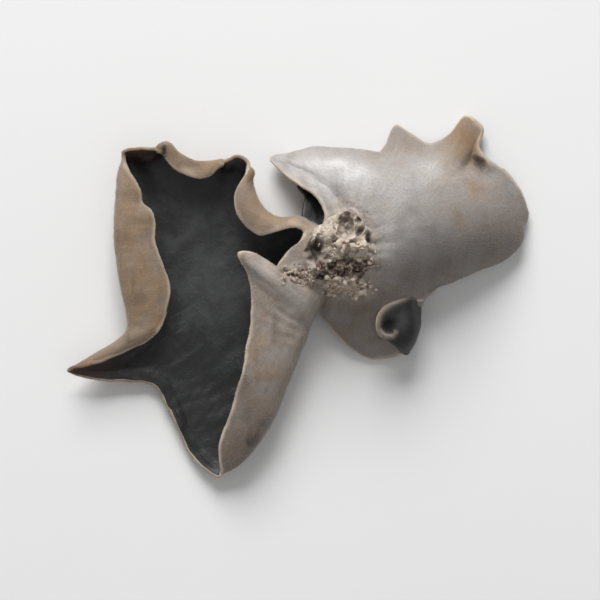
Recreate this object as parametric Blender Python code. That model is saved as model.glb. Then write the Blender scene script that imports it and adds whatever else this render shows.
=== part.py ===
"""Dried wood ear: two ears of one fungus, grown from one rough foot, lying on a flat surface.

The left ear is a shallow cup with its smooth dark face up and its margins rolled in. The right ear
is a dome with its velvety back up. Both are one sheet of flesh bent about a pole: ribs run from the
pole over a crest, where the sheet is widest, to the free edge. Crumbs of the block that the fungus
grew on still sit on the foot.
"""

from dataclasses import dataclass

import bmesh
import bpy
import numpy as np
from mathutils import Matrix, Vector, noise

MM = 0.001

# The foot is the point that the ribs below are measured from, in millimetres: +X to the right ear,
# +Y to the two small tips, +Z up from the surface that the fungus lies on.
FOOT_FROM_CENTRE = (5.8, 8.7)

FLESH = 1.3  # thickness of the sheet away from the foot and the margin
MARGIN_SHARE = 0.7  # what is left of that thickness at the free edge
FOOT_EXTRA = 0.5  # how much thicker, as a share of FLESH, the sheet is at the foot
FOOT_SPREAD = 9.0  # how far from the foot the thicker flesh reaches
ROLL_RISE = 1.0  # least height of a rolled margin's bow over its crest
ROLL_RISE_SHARE = 0.42  # the rest of that height, as a share of the roll's width
ROLL_DIP = 32.0  # slope in degrees at which a rolled margin comes down to its free edge
FLATTENING = 0.45  # how far the fungus is pressed on the surface, which gives it flats to lie on
LOWEST_MIDDLE = 0.9  # height of the middle of the flesh where it lies on the surface
INNER_CROWDING = 0.7  # below 1, the rows from pole to crest crowd towards the crest
ROLLED_FROM = 70.0  # lean in degrees above which a margin starts to count as rolled
ROLLED_SPAN = 15.0  # how many degrees more make it wholly rolled
MARGIN_HANDLE = 0.34  # length of the last handles, as a share of the way from crest to edge
BEND_SHARE = 0.4  # longest bend before the crest, as a share of the way from the pole
LEAST_SLOPE = 0.25  # sine of the flattest slope that still shortens that bend
FALL_SHARE = 0.6  # the same where the flesh falls away from the pole, as a share of the drop

FOOT_CENTRE = (3.4, 1.0, 13.0)
FOOT_RADII = (7.0, 7.8, 4.8)
FOOT_ROUGHNESS = 1.2  # height of the lumps on the foot
FOOT_LUMPS = 2.3  # how many lumps there are across it
FOOT_NOISE = (0.8, 2.1, 3)  # how fast the lumps fall off, their gap from size to size, and how many sizes
FOOT_DETAIL = 3  # times that its faces are divided
CRUMB_ROUGHNESS = 0.35  # depth of a crumb's corners, as a share of its radius
CRUMB_CORNERS = 1.7  # how many corners there are across it
CRUMB_TURN = 3.1  # how far apart the crumbs are in the noise that shapes them
CRUMB_GAP = 0.32  # clearance between the crumbs and the flesh
FLOOR_SIZE = (0.2, 0.2, 0.01)  # metres of the block that cuts the flats


@dataclass(frozen=True)
class Ear:
    """A sheet of flesh bent about a pole, and how finely it is divided."""

    pole: tuple
    ribs: tuple
    reach: float  # how far out the first handle is, as a share of the way to the crest
    spread: tuple  # how far the two inner handles are evened out, as shares of the turn
    columns: int
    inner_rows: int
    outer_rows: int


@dataclass(frozen=True)
class Rib:
    """One rib from the pole to the free edge, in millimetres from the foot."""

    crest: tuple  # the widest point, or for an open margin a point short of the edge
    edge: tuple  # the free edge
    lean: float = 90.0  # slope of the flesh as it passes the crest: 90 is upright, -90 straight down


LEFT_POLE = (-26.0, -9.0, 0.9)
LEFT_RIBS = (
    # Right margin, a broad flap folded back over the dark face, narrowing away from the foot.
    Rib((1.5, -5.5, 9.0), (-8.6, -5.9, 11.4)),
    Rib((0.0, -7.0, 8.6), (-11.4, -5.0, 11.0)),
    Rib((-1.0, -8.8, 8.2), (-13.6, -2.6, 10.8)),
    Rib((-1.8, -10.6, 7.8), (-16.4, -0.1, 10.7)),
    Rib((-2.6, -12.2, 7.4), (-18.8, 0.5, 10.4)),
    Rib((-3.4, -14.4, 7.1), (-17.8, -4.4, 10.0)),
    Rib((-4.3, -16.8, 7.0), (-16.9, -10.6, 9.5)),
    Rib((-5.4, -19.6, 7.0), (-17.5, -18.2, 9.0)),
    Rib((-7.8, -25.7, 6.5), (-19.0, -25.4, 8.5)),
    Rib((-10.8, -32.4, 6.0), (-20.6, -31.0, 8.0)),
    Rib((-14.2, -39.2, 5.5), (-22.3, -36.5, 7.0)),
    Rib((-18.6, -45.0, 4.5), (-23.4, -42.2, 6.0)),
    # Lower end and lower left margin, open and low.
    Rib((-23.0, -46.5, 2.8), (-23.3, -48.6, 4.0), lean=35.0),
    Rib((-27.2, -42.8, 2.0), (-28.6, -44.8, 2.8), lean=22.0),
    Rib((-31.0, -36.8, 1.8), (-32.6, -38.4, 2.5), lean=22.0),
    Rib((-33.6, -31.2, 1.8), (-35.3, -32.8, 2.5), lean=22.0),
    Rib((-36.8, -26.4, 2.0), (-37.6, -28.6, 2.6), lean=22.0),
    # The long tongue.
    Rib((-43.0, -25.2, 2.8), (-43.4, -27.5, 3.3), lean=20.0),
    Rib((-50.0, -25.3, 4.2), (-50.6, -27.0, 4.6), lean=18.0),
    Rib((-54.0, -24.6, 5.6), (-56.7, -25.2, 6.4), lean=18.0),
    Rib((-50.8, -22.2, 5.4), (-50.2, -23.5, 6.7), lean=80.0),
    Rib((-45.4, -19.8, 5.8), (-42.6, -20.4, 7.4)),
    # Left margin, rolled in.
    Rib((-43.4, -16.8, 6.5), (-37.4, -17.0, 8.0)),
    Rib((-43.4, -12.4, 7.0), (-35.2, -12.2, 7.8)),
    Rib((-44.6, -6.6, 7.0), (-34.7, -6.6, 7.8)),
    Rib((-45.6, 0.2, 7.0), (-36.2, 0.2, 8.2)),
    Rib((-46.0, 7.2, 7.0), (-38.5, 7.2, 8.6)),
    Rib((-45.7, 13.6, 6.8), (-41.2, 13.4, 8.6)),
    Rib((-45.2, 18.8, 6.2), (-43.4, 18.8, 8.2)),
    # Upper left corner and the short open edge beside it.
    Rib((-43.3, 21.2, 5.2), (-44.7, 22.8, 7.4), lean=55.0),
    Rib((-38.6, 21.2, 5.6), (-38.6, 23.4, 7.8), lean=55.0),
    # Upper margin, a narrow roll.
    Rib((-35.2, 24.1, 6.4), (-36.0, 22.5, 8.2)),
    Rib((-32.6, 21.9, 6.0), (-33.7, 19.8, 8.0)),
    Rib((-29.2, 20.3, 5.5), (-29.6, 17.6, 8.0)),
    Rib((-25.2, 20.3, 5.7), (-25.6, 18.0, 8.0)),
    Rib((-23.2, 20.3, 6.1), (-23.2, 19.9, 8.7), lean=84.0),
    # Knob, dark to its edge.
    Rib((-21.7, 19.0, 6.5), (-21.7, 20.8, 8.6), lean=62.0),
    Rib((-19.8, 19.4, 7.0), (-19.6, 21.6, 9.2), lean=62.0),
    Rib((-18.0, 18.4, 7.0), (-17.3, 20.2, 9.2), lean=66.0),
    # Upper right margin, a broader roll.
    Rib((-16.8, 18.2, 7.1), (-17.6, 17.6, 9.6), lean=84.0),
    Rib((-16.0, 16.6, 7.2), (-19.2, 13.2, 9.0)),
    Rib((-14.6, 14.2, 7.2), (-18.8, 8.8, 9.0)),
    Rib((-12.2, 11.2, 7.2), (-15.0, 4.9, 9.0)),
    Rib((-8.8, 8.6, 7.6), (-11.2, 5.6, 9.8)),
    # Loop of the margin beside the foot, standing on edge.
    Rib((-5.8, 8.2, 8.2), (-6.6, 6.9, 11.2), lean=84.0),
    Rib((-2.8, 6.2, 8.8), (-4.6, 5.2, 11.4), lean=88.0),
    # Small flap folded over at the foot, and the slit between it and the broad flap.
    Rib((1.6, 5.4, 9.2), (-6.0, 2.5, 11.6)),
    Rib((4.4, 3.2, 9.8), (-8.4, 0.5, 11.4)),
    Rib((5.0, 1.4, 10.0), (-10.0, -1.9, 11.3)),
    Rib((5.0, -0.4, 10.0), (-10.8, -4.0, 11.3)),
    Rib((4.2, -2.2, 10.0), (-5.6, -5.0, 12.0)),
)

RIGHT_POLE = (16.5, 10.5, 19.6)
RIGHT_RIBS = (
    # Left rim, rising from the long tip at the surface to the foot.
    Rib((3.0, 5.6, 12.8), (-1.0, 5.0, 11.4), lean=-25.0),
    Rib((3.0, 8.6, 12.8), (-0.1, 8.8, 11.8), lean=-20.0),
    Rib((1.6, 12.5, 11.3), (-1.7, 12.4, 10.7), lean=-12.0),
    Rib((-2.0, 16.2, 9.0), (-5.4, 15.4, 8.7), lean=-6.0),
    Rib((-5.6, 19.0, 7.0), (-8.8, 18.0, 6.5), lean=-10.0),
    Rib((-8.4, 21.0, 5.4), (-12.0, 21.5, 3.4), lean=-28.0),
    # Top margin, turned under.
    Rib((-2.6, 23.4, 4.6), (-2.4, 22.0, 0.8), lean=-82.0),
    Rib((4.7, 23.0, 4.5), (4.7, 21.4, 0.4), lean=-90.0),
    Rib((10.4, 22.4, 4.2), (10.2, 21.2, 0.5), lean=-88.0),
    # The two small tips and the valley between them.
    Rib((13.6, 21.8, 4.2), (13.4, 24.4, 1.6), lean=-50.0),
    Rib((15.9, 23.2, 4.0), (15.4, 28.7, 0.9), lean=-40.0),
    Rib((18.2, 22.8, 4.2), (18.4, 27.0, 1.4), lean=-42.0),
    Rib((22.6, 21.8, 4.6), (23.2, 24.6, 2.0), lean=-48.0),
    Rib((26.7, 23.2, 4.2), (27.9, 27.4, 1.6), lean=-40.0),
    Rib((29.4, 25.2, 3.6), (30.9, 30.9, 1.0), lean=-34.0),
    Rib((31.8, 24.4, 3.0), (34.3, 28.4, 2.8), lean=-8.0),
    # Pinched notch, then the flared right rim.
    Rib((31.6, 20.6, 2.6), (33.4, 23.6, 3.8), lean=5.0),
    Rib((34.4, 18.2, 4.2), (36.2, 20.6, 4.4), lean=-10.0),
    Rib((37.7, 15.4, 5.2), (39.9, 18.0, 3.6), lean=-35.0),
    Rib((40.4, 11.9, 5.4), (43.0, 13.7, 3.0), lean=-42.0),
    Rib((41.6, 8.0, 5.4), (44.2, 8.9, 2.4), lean=-48.0),
    # Lower right margin, turned under.
    Rib((42.6, 3.8, 4.2), (42.0, 3.6, 0.8), lean=-86.0),
    Rib((39.5, 0.0, 4.2), (38.6, 0.4, 0.4), lean=-90.0),
    Rib((33.8, -2.6, 4.4), (33.0, -1.8, 0.4), lean=-90.0),
    Rib((27.2, -5.2, 4.4), (26.5, -4.2, 0.6), lean=-88.0),
    Rib((21.2, -7.4, 3.4), (22.6, -8.6, 2.8), lean=-20.0),
    # Curl at the lower right, rolled up and back over the outside.
    Rib((21.0, -9.0, 4.6), (20.8, -9.8, 7.4), lean=75.0),
    Rib((20.4, -11.4, 6.0), (16.6, -9.3, 11.0), lean=90.0),
    Rib((20.2, -14.4, 6.2), (12.4, -11.4, 11.4), lean=90.0),
    Rib((19.2, -17.4, 5.8), (11.2, -15.0, 10.8), lean=90.0),
    Rib((18.2, -19.2, 5.0), (12.4, -17.6, 9.6), lean=88.0),
    Rib((17.6, -20.2, 4.6), (14.8, -17.8, 8.6), lean=88.0),
    # Lower tip and lower left edge, rising to the foot.
    Rib((16.0, -20.4, 4.0), (17.2, -21.0, 4.4), lean=20.0),
    Rib((13.2, -19.8, 3.6), (14.2, -22.2, 2.4), lean=-35.0),
    Rib((10.2, -20.2, 3.6), (10.0, -22.4, 0.7), lean=-50.0),
    Rib((6.8, -18.2, 5.0), (5.8, -20.0, 2.8), lean=-50.0),
    Rib((3.4, -14.8, 6.6), (1.8, -16.4, 4.4), lean=-50.0),
    Rib((1.4, -11.4, 8.6), (-1.0, -12.4, 6.4), lean=-48.0),
    Rib((2.4, -7.6, 10.8), (-0.2, -7.8, 9.0), lean=-35.0),
    Rib((3.2, -3.2, 12.4), (0.6, -3.2, 11.0), lean=-25.0),
    Rib((3.0, 1.4, 12.8), (0.0, 1.4, 11.6), lean=-20.0),
)

LIP_POLE = (1.2, 10.4, 6.0)
LIP_RIBS = (
    # Small lower lip under the left rim of the dome, joined to the foot.
    Rib((-1.4, 7.2, 7.2), (-4.4, 5.6, 8.8), lean=30.0),
    Rib((-2.4, 9.8, 6.4), (-4.9, 9.6, 7.4), lean=22.0),
    Rib((-2.2, 12.2, 5.8), (-4.6, 13.0, 6.0), lean=5.0),
    Rib((-3.0, 14.0, 4.6), (-6.2, 15.6, 3.8), lean=-12.0),
    Rib((-0.6, 14.8, 4.8), (-1.8, 17.2, 3.8), lean=-15.0),
    Rib((3.4, 13.6, 5.2), (4.4, 16.0, 4.4), lean=-12.0),
    Rib((5.0, 10.0, 6.4), (7.0, 9.6, 7.0), lean=15.0),
    Rib((3.6, 6.4, 8.2), (4.4, 3.6, 10.6), lean=40.0),
)

LEFT_EAR = Ear(LEFT_POLE, LEFT_RIBS, 0.5, spread=(0.045, 0.012), columns=83, inner_rows=6, outer_rows=5)
RIGHT_EAR = Ear(RIGHT_POLE, RIGHT_RIBS, 0.62, spread=(0.12, 0.06), columns=74, inner_rows=6, outer_rows=4)
LOWER_LIP = Ear(LIP_POLE, LIP_RIBS, 0.5, spread=(0.05, 0.02), columns=18, inner_rows=3, outer_rows=2)

# Pits in the foot: direction from its middle, depth in millimetres and width as a share of the foot.
PITS = (
    ((-0.80, 0.05, 0.55), 2.6, 0.30),
    ((0.05, 0.70, 0.65), 1.8, 0.28),
    ((0.10, -0.45, 0.85), 1.4, 0.24),
    ((0.75, -0.35, 0.60), 1.3, 0.22),
)

# Each crumb: place from the foot, how far its middle is over the flesh there, and its radius.
CRUMBS = (
    ((-9.8, -3.8), 0.3, 1.4),
    ((-7.6, -4.4), 0.3, 1.5),
    ((-5.2, -4.7), 0.4, 1.5),
    ((-2.9, -4.9), 0.5, 1.8),
    ((-0.4, -4.2), 0.4, 1.6),
    ((2.0, -3.5), 0.4, 2.3),
    ((4.8, -2.8), 0.4, 2.5),
    ((7.4, -1.8), 0.3, 2.1),
    ((3.4, -0.8), 0.2, 1.8),
    ((8.3, 0.8), 0.3, 1.8),
    ((6.0, 2.0), 0.5, 2.2),
    ((3.9, 2.9), 0.4, 1.5),
    ((8.0, 3.8), 0.3, 1.5),
    ((5.8, 4.8), 0.4, 1.6),
)


def clear_scene():
    """Removes the objects that a new file starts with."""
    for obj in list(bpy.data.objects):
        bpy.data.objects.remove(obj, do_unlink=True)


def material(name, colour, roughness):
    """A Principled material of one colour."""
    made = bpy.data.materials.new(name)
    made.use_nodes = True
    shader = made.node_tree.nodes["Principled BSDF"]
    shader.inputs["Base Color"].default_value = (*colour, 1.0)
    shader.inputs["Roughness"].default_value = roughness
    shader.inputs["Metallic"].default_value = 0.0
    return made


def unit(vectors):
    """The vectors at length one, along the last axis."""
    length = np.linalg.norm(vectors, axis=-1, keepdims=True)
    return vectors / np.maximum(length, 1e-9)


def control_rings(ear):
    """The seven Bezier points of every rib: pole, two handles, crest, two handles, free edge."""
    pole = np.array(ear.pole)
    crest = np.array([rib.crest for rib in ear.ribs])
    edge = np.array([rib.edge for rib in ear.ribs])
    lean = np.radians([[rib.lean] for rib in ear.ribs])

    level = np.array([1.0, 1.0, 0.0])
    outward = unit((crest - pole) * level)
    distance = np.linalg.norm((crest - pole) * level, axis=1, keepdims=True)
    along = outward * np.cos(lean) + np.array([0.0, 0.0, 1.0]) * np.sin(lean)

    # The bend before the crest is no longer than the height that it has to turn in.
    above_floor = crest[:, 2:] - LOWEST_MIDDLE
    below_pole = np.abs(pole[2] - crest[:, 2:]) * FALL_SHARE
    room = np.where(lean > 0, above_floor, below_pole)
    bend = np.minimum(distance * BEND_SHARE, room / np.maximum(np.abs(np.sin(lean)), LEAST_SLOPE))
    first = pole + outward * distance * ear.reach
    second = crest - along * bend

    chord = edge - crest
    width = np.linalg.norm(chord, axis=1, keepdims=True)
    rolled = np.clip((np.degrees(lean) - ROLLED_FROM) / ROLLED_SPAN, 0.0, 1.0)
    bow = width * MARGIN_HANDLE * (1 - rolled) + (ROLL_RISE + ROLL_RISE_SHARE * width) * rolled
    dip = np.radians(ROLL_DIP) * rolled
    arrive = unit(chord * level) * np.cos(dip) - np.array([0.0, 0.0, 1.0]) * np.sin(dip)
    arrive = unit(unit(chord) * (1 - rolled) + arrive * rolled)
    third = crest + along * bow
    fourth = edge - arrive * width * MARGIN_HANDLE
    centre = np.broadcast_to(pole, crest.shape)
    return np.stack([centre, first, second, crest, third, fourth, edge], axis=1)


def evened(ring, spread):
    """A closed ring of points blurred along itself by a bell curve of that share of the turn."""
    waves = np.fft.rfft(ring, axis=0)
    number = np.arange(len(waves))[:, None]
    return np.fft.irfft(waves * np.exp(-0.5 * (2 * np.pi * number * spread) ** 2), len(ring), axis=0)


def around(rings, count, spread):
    """The control rings at count even steps around the pole, through every crest and edge."""
    gap = np.linalg.norm(np.roll(rings, -1, axis=0) - rings, axis=2)
    step = np.sqrt(gap[:, 3]) + np.sqrt(gap[:, 6])
    slope = (np.roll(rings, -1, axis=0) - rings) / step[:, None, None]
    before = np.roll(step, 1)[:, None, None]
    after = step[:, None, None]
    tangent = (after * np.roll(slope, 1, axis=0) + before * slope) / (before + after)

    knots = np.concatenate([[0.0], np.cumsum(step)])
    places = np.linspace(0.0, knots[-1], count, endpoint=False)
    index = np.clip(np.searchsorted(knots, places, side="right") - 1, 0, len(step) - 1)
    following = (index + 1) % len(step)
    t = ((places - knots[index]) / step[index])[:, None, None]
    stride = step[index][:, None, None]
    result = (
        (2 * t**3 - 3 * t**2 + 1) * rings[index]
        + (t**3 - 2 * t**2 + t) * stride * tangent[index]
        + (3 * t**2 - 2 * t**3) * rings[following]
        + (t**3 - t**2) * stride * tangent[following]
    )
    for handle in (1, 2):
        result[:, handle] = evened(result[:, handle], spread[handle - 1])
    bow = np.linalg.norm(result[:, 4] - result[:, 3], axis=1, keepdims=True)
    result[:, 4] = result[:, 3] + unit(result[:, 3] - result[:, 2]) * bow
    return result


def bezier(points, t):
    """Cubic Bezier of points (around, 4, xyz) at each t: (around, t, xyz)."""
    t = t[None, :, None]
    a, b, c, d = (points[:, k, None, :] for k in range(4))
    return (1 - t) ** 3 * a + 3 * t * (1 - t) ** 2 * b + 3 * t**2 * (1 - t) * c + t**3 * d


def ear_surface(ear):
    """The middle of the flesh as points (columns, rows, xyz), the pole itself left out."""
    rings = around(control_rings(ear), ear.columns, ear.spread)
    inner = bezier(rings[:, :4], np.linspace(0.0, 1.0, ear.inner_rows + 1)[1:] ** INNER_CROWDING)
    outer = bezier(rings[:, 3:], np.linspace(0.0, 1.0, ear.outer_rows + 1)[1:])
    return np.concatenate([inner, outer], axis=1)


def placed(points):
    """Points in metres about the middle of the whole fungus, from millimetres about the foot."""
    shift = np.array([*FOOT_FROM_CENTRE, -FLATTENING])
    return (np.asarray(points, dtype=float) + shift) * MM


def thickness_share(points):
    """Thickness of the flesh over FLESH at each point: thin at the margin, thick at the foot."""
    rows = points.shape[1]
    across = np.linspace(0.0, 1.0, rows)[None, :]
    margin = 1.0 - (1.0 - MARGIN_SHARE) * across**4
    away = np.linalg.norm(points - np.array(FOOT_CENTRE), axis=2)
    return margin + FOOT_EXTRA * np.exp(-((away / FOOT_SPREAD) ** 2))


def sheet_object(name, ear, extra=0.0):
    """An ear as a sheet with a Solidify modifier; extra thickens it by that much on each side."""
    points = ear_surface(ear)
    columns, rows = points.shape[:2]
    share = thickness_share(points) + 2 * extra / FLESH
    vertices = np.concatenate([[ear.pole], points.reshape(-1, 3)])
    shares = np.concatenate([[share[:, 0].mean()], share.reshape(-1)])

    faces = []
    for column in range(columns):
        here = 1 + column * rows
        there = 1 + (column + 1) % columns * rows
        faces.append((0, here, there))
        faces += [
            (here + row, here + row + 1, there + row + 1, there + row) for row in range(rows - 1)
        ]
    mesh = bpy.data.meshes.new(name)
    mesh.from_pydata(placed(vertices).tolist(), [], faces)
    mesh.validate()
    sheet = bpy.data.objects.new(name, mesh)
    bpy.context.scene.collection.objects.link(sheet)

    thick = sheet.vertex_groups.new(name="thickness")
    largest = shares.max()
    for vertex, value in enumerate(shares):
        thick.add([vertex], value / largest, "REPLACE")
    solidify = sheet.modifiers.new("Flesh", "SOLIDIFY")
    solidify.thickness = FLESH * largest * MM
    solidify.offset = 0.0
    solidify.vertex_group = "thickness"
    solidify.thickness_vertex_group = 0.0
    return sheet


def link_mesh(name, shape):
    """A new object in the scene with the bmesh shape, which is freed."""
    mesh = bpy.data.meshes.new(name)
    shape.to_mesh(mesh)
    shape.free()
    made = bpy.data.objects.new(name, mesh)
    bpy.context.scene.collection.objects.link(made)
    return made


def foot_object(name, extra=0.0):
    """The foot: a ball stretched to its radii, roughened by lumps and dented by pits."""
    shape = bmesh.new()
    bmesh.ops.create_icosphere(shape, subdivisions=FOOT_DETAIL, radius=1.0)
    for vertex in shape.verts:
        way = vertex.co.normalized()
        height = FOOT_ROUGHNESS * noise.fractal(way * FOOT_LUMPS, *FOOT_NOISE) + extra
        for direction, depth, width in PITS:
            off = (way - Vector(direction).normalized()).length / width
            height -= depth * np.exp(-off * off)
        vertex.co = Vector([way[k] * (FOOT_RADII[k] + height) for k in range(3)]) * MM
    bmesh.ops.translate(shape, vec=Vector(placed(FOOT_CENTRE)), verts=shape.verts)
    return link_mesh(name, shape)


def crumb_object(name, centre, radius, turn):
    """One angular crumb about centre, in metres, turned by turn so that no two look alike."""
    shape = bmesh.new()
    bmesh.ops.create_icosphere(shape, subdivisions=2, radius=radius * MM)
    for vertex in shape.verts:
        place = vertex.co / (radius * MM) * CRUMB_CORNERS + Vector((turn, 0.0, 0.0))
        vertex.co *= 1.0 + CRUMB_ROUGHNESS * noise.noise(place)
    bmesh.ops.translate(shape, vec=centre, verts=shape.verts)
    return link_mesh(name, shape)


def as_guide(obj):
    """The object, shown as wire only, for a modifier to work with."""
    obj.hide_render = True
    obj.display_type = "WIRE"
    return obj


def combine(body, other, operation, sheets=False):
    """A Boolean modifier. Sheets is for a body or other whose rolled margins may cross themselves."""
    modifier = body.modifiers.new(f"{operation.title()} {other.name}", "BOOLEAN")
    modifier.operation = operation
    modifier.solver = "EXACT"
    modifier.use_self = sheets
    modifier.object = as_guide(other)


def pieces_of(shape):
    """The faces of each piece of a bmesh, where pieces may still touch along an edge or at a point."""
    unseen = set(shape.faces)
    found = []
    while unseen:
        piece = [unseen.pop()]
        for face in piece:
            shared = (edge for edge in face.edges if len(edge.link_faces) == 2)
            linked = {other for edge in shared for other in edge.link_faces} & unseen
            unseen -= linked
            piece += linked
        found.append(piece)
    return found


def keep_largest_piece(obj):
    """Applies the modifiers, then drops the specks that they cut free."""
    graph = bpy.context.evaluated_depsgraph_get()
    shape = bmesh.new()
    shape.from_mesh(bpy.data.meshes.new_from_object(obj.evaluated_get(graph)))
    specks = sorted(pieces_of(shape), key=len)[:-1]
    bmesh.ops.delete(shape, geom=[face for piece in specks for face in piece], context="FACES")
    obj.modifiers.clear()
    shape.to_mesh(obj.data)
    shape.free()


def floor_cutter():
    """A block whose top is the surface that the fungus lies on."""
    shape = bmesh.new()
    below = Matrix.Translation((0.0, 0.0, -FLOOR_SIZE[2] / 2))
    bmesh.ops.create_cube(shape, size=1.0, matrix=below @ Matrix.Diagonal((*FLOOR_SIZE, 1.0)))
    return link_mesh("floor_cutter", shape)


def build_flesh():
    """The two ears, the lower lip and the foot, joined into one body with flats where it rests."""
    flesh = sheet_object("wood_ear", LEFT_EAR)
    combine(flesh, sheet_object("right_ear", RIGHT_EAR), "UNION", sheets=True)
    combine(flesh, sheet_object("lower_lip", LOWER_LIP), "UNION")
    combine(flesh, foot_object("foot"), "UNION")
    combine(flesh, floor_cutter(), "DIFFERENCE")
    keep_largest_piece(flesh)
    flesh.data.materials.append(material("ear_flesh", (0.12, 0.10, 0.09), 0.6))
    return flesh


def height_over(flesh, x, y):
    """Height of the topmost flesh under the sky at x, y, all in metres."""
    solid = flesh.evaluated_get(bpy.context.evaluated_depsgraph_get())
    hit, point, _, _ = solid.ray_cast(Vector((x, y, 0.1)), Vector((0.0, 0.0, -1.0)))
    if not hit:
        raise ValueError(f"no flesh under the crumb at {x:.4f}, {y:.4f}")
    return point.z


def build_crumbs(flesh):
    """Crumbs of the growing block as one crust that follows the flesh, clear of it by CRUMB_GAP."""
    grains = []
    for number, (place, over, radius) in enumerate(CRUMBS):
        x, y, _ = placed((*place, 0.0))
        centre = Vector((x, y, height_over(flesh, x, y) + over * MM))
        name = "growing_medium" if number == 0 else f"crumb_{number}"
        grains.append(crumb_object(name, centre, radius, turn=CRUMB_TURN * number))
    crust = grains[0]
    for grain in grains[1:]:
        combine(crust, grain, "UNION")
    left = sheet_object("left_clearance", LEFT_EAR, extra=CRUMB_GAP)
    right = sheet_object("right_clearance", RIGHT_EAR, extra=CRUMB_GAP)
    combine(crust, left, "DIFFERENCE", sheets=True)
    combine(crust, right, "DIFFERENCE", sheets=True)
    combine(crust, foot_object("foot_clearance", extra=CRUMB_GAP), "DIFFERENCE")
    keep_largest_piece(crust)
    crust.data.materials.append(material("growing_medium", (0.42, 0.36, 0.29), 0.9))
    return crust


def main():
    """Builds the fungus and the crumbs on its foot."""
    clear_scene()
    flesh = build_flesh()
    build_crumbs(flesh)


if __name__ == "__main__":
    main()
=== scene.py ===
"""Looks of the dried wood ear: two ears of one fungus on one rough foot, with crumbs of its block.

Every shape is a function of two parameters worked out with numpy in millimetres from the foot, +X to
the domed ear, +Y to its two small tips and +Z up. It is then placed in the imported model's frame, in
metres. The ribs of the ears follow those of the solids, so each skin lies where its solid is.
"""

import logging
from dataclasses import dataclass, field
from enum import Enum
from itertools import combinations

import bpy
import numpy as np
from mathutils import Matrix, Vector
from mathutils.bvhtree import BVHTree


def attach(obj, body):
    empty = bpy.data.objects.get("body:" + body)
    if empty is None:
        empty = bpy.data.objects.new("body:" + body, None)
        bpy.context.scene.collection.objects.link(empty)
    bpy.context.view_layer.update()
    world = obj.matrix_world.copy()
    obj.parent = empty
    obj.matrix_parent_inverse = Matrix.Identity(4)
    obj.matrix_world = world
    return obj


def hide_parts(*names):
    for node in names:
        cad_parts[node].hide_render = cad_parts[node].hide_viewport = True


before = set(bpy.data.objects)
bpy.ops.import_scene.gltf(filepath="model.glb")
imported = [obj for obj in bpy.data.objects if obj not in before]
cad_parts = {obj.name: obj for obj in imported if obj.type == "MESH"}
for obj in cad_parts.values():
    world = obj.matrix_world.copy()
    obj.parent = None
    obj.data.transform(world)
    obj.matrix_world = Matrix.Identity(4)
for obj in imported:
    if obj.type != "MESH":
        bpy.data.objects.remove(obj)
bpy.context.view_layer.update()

LOG = logging.getLogger("wood_ear")

MM = 0.001  # metres in a millimetre
FOOT_FROM_CENTRE = (5.8, 8.7)  # where the foot is from the model's middle, in millimetres
FLATTENING = 0.45  # how far the fungus is pressed on the surface it lies on

FLESH = 1.3  # thickness of the sheet away from the foot and the margin
MARGIN_SHARE = 0.62  # what is left of it at the free edge
FOOT_EXTRA = 0.5  # how much thicker, as a share of FLESH, the sheet is at the foot
FOOT_SPREAD = 9.0  # how far from the foot the thicker flesh reaches
FOOT_CENTRE = (3.4, 1.0, 13.0)  # middle of the foot

LOWEST_MIDDLE = 0.9  # lowest that the middle of the flesh bends
BEND_SHARE = 0.4  # longest bend before a crest, over its distance from the pole
FALL_SHARE = 0.6  # longest bend before a falling crest, over its depth below the pole
LEAST_SINE = 0.25  # least sine of a lean that the length of a bend is divided by
ROLLED_FROM = 70.0  # degrees of lean from which an open margin starts to be a rolled one
ROLLED_OVER = 15.0  # degrees from there to a wholly rolled one
ROLL_RISE = 1.0  # how far a rolled margin bows over its crest, at the least
ROLL_RISE_SHARE = 0.42  # how much further, over the margin's width
ROLL_DIP = 32.0  # degrees that its free edge points down
OPEN_HANDLE = 0.34  # handles of an open margin, over its width
INNER_CROWDING = 0.7  # power of the way out that crowds the rows at the crest
RIB_DRIFT = 3.0  # how far noise that runs along the ribs changes from pole to edge
NAP_CIRCLE = 14.0  # radius of the circle of noise that the streaks of the hairs are read from
NAP_DRIFT = 0.06  # how fast they change on their way from the foot

DENT_LIP = (1.35, 0.35)  # where a dent's lip is and how wide, over its radius
DENT_FADE = 2.0  # height over which a dent fades in above its level
DENT_WAVER = (0.22, 0.9)  # how far the outlines of dents waver, and over what length
CURL_LEVEL = 5.5  # only what is higher than this belongs to the curl

AXIS_ODDS = (0x8DA6B343, 0xD8163841, 0xCB1AB31F)  # what each coordinate of a cell is multiplied by
SEED_ODD = 0x9E3779B1
MIXES = ((15, 0x2C1B3C6D), (12, 0x297A2D39))  # shifts and odd factors that mix the bits of a cell
LAST_SHIFT = 15
OCTAVE = 2.03  # pitch of each layer of noise over the last
OCTAVE_SHIFT = 17.1  # how far the pattern of each layer is moved from the last
UP_AND_DOWN = np.array([[0.0, 0.0, 1.0], [0.0, 0.0, -1.0]])

Point = tuple[float, float, float]
Socket = bpy.types.NodeSocket
Number = Socket | float
Colour = Socket | Point


# Numbers over space


def unit(vectors: np.ndarray) -> np.ndarray:
    """The vectors at length one, along the last axis."""
    length = np.linalg.norm(vectors, axis=-1, keepdims=True)
    return vectors / np.maximum(length, 1e-9)


def held(value: np.ndarray) -> np.ndarray:
    """The value kept between 0 and 1."""
    return np.clip(value, 0.0, 1.0)


def smooth_step(low: float, high: float, value: np.ndarray) -> np.ndarray:
    """0 below low, 1 above high, and 3t^2 - 2t^3 of the share t of the way between them."""
    t = held((value - low) / (high - low))
    return t * t * (3.0 - 2.0 * t)


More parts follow.
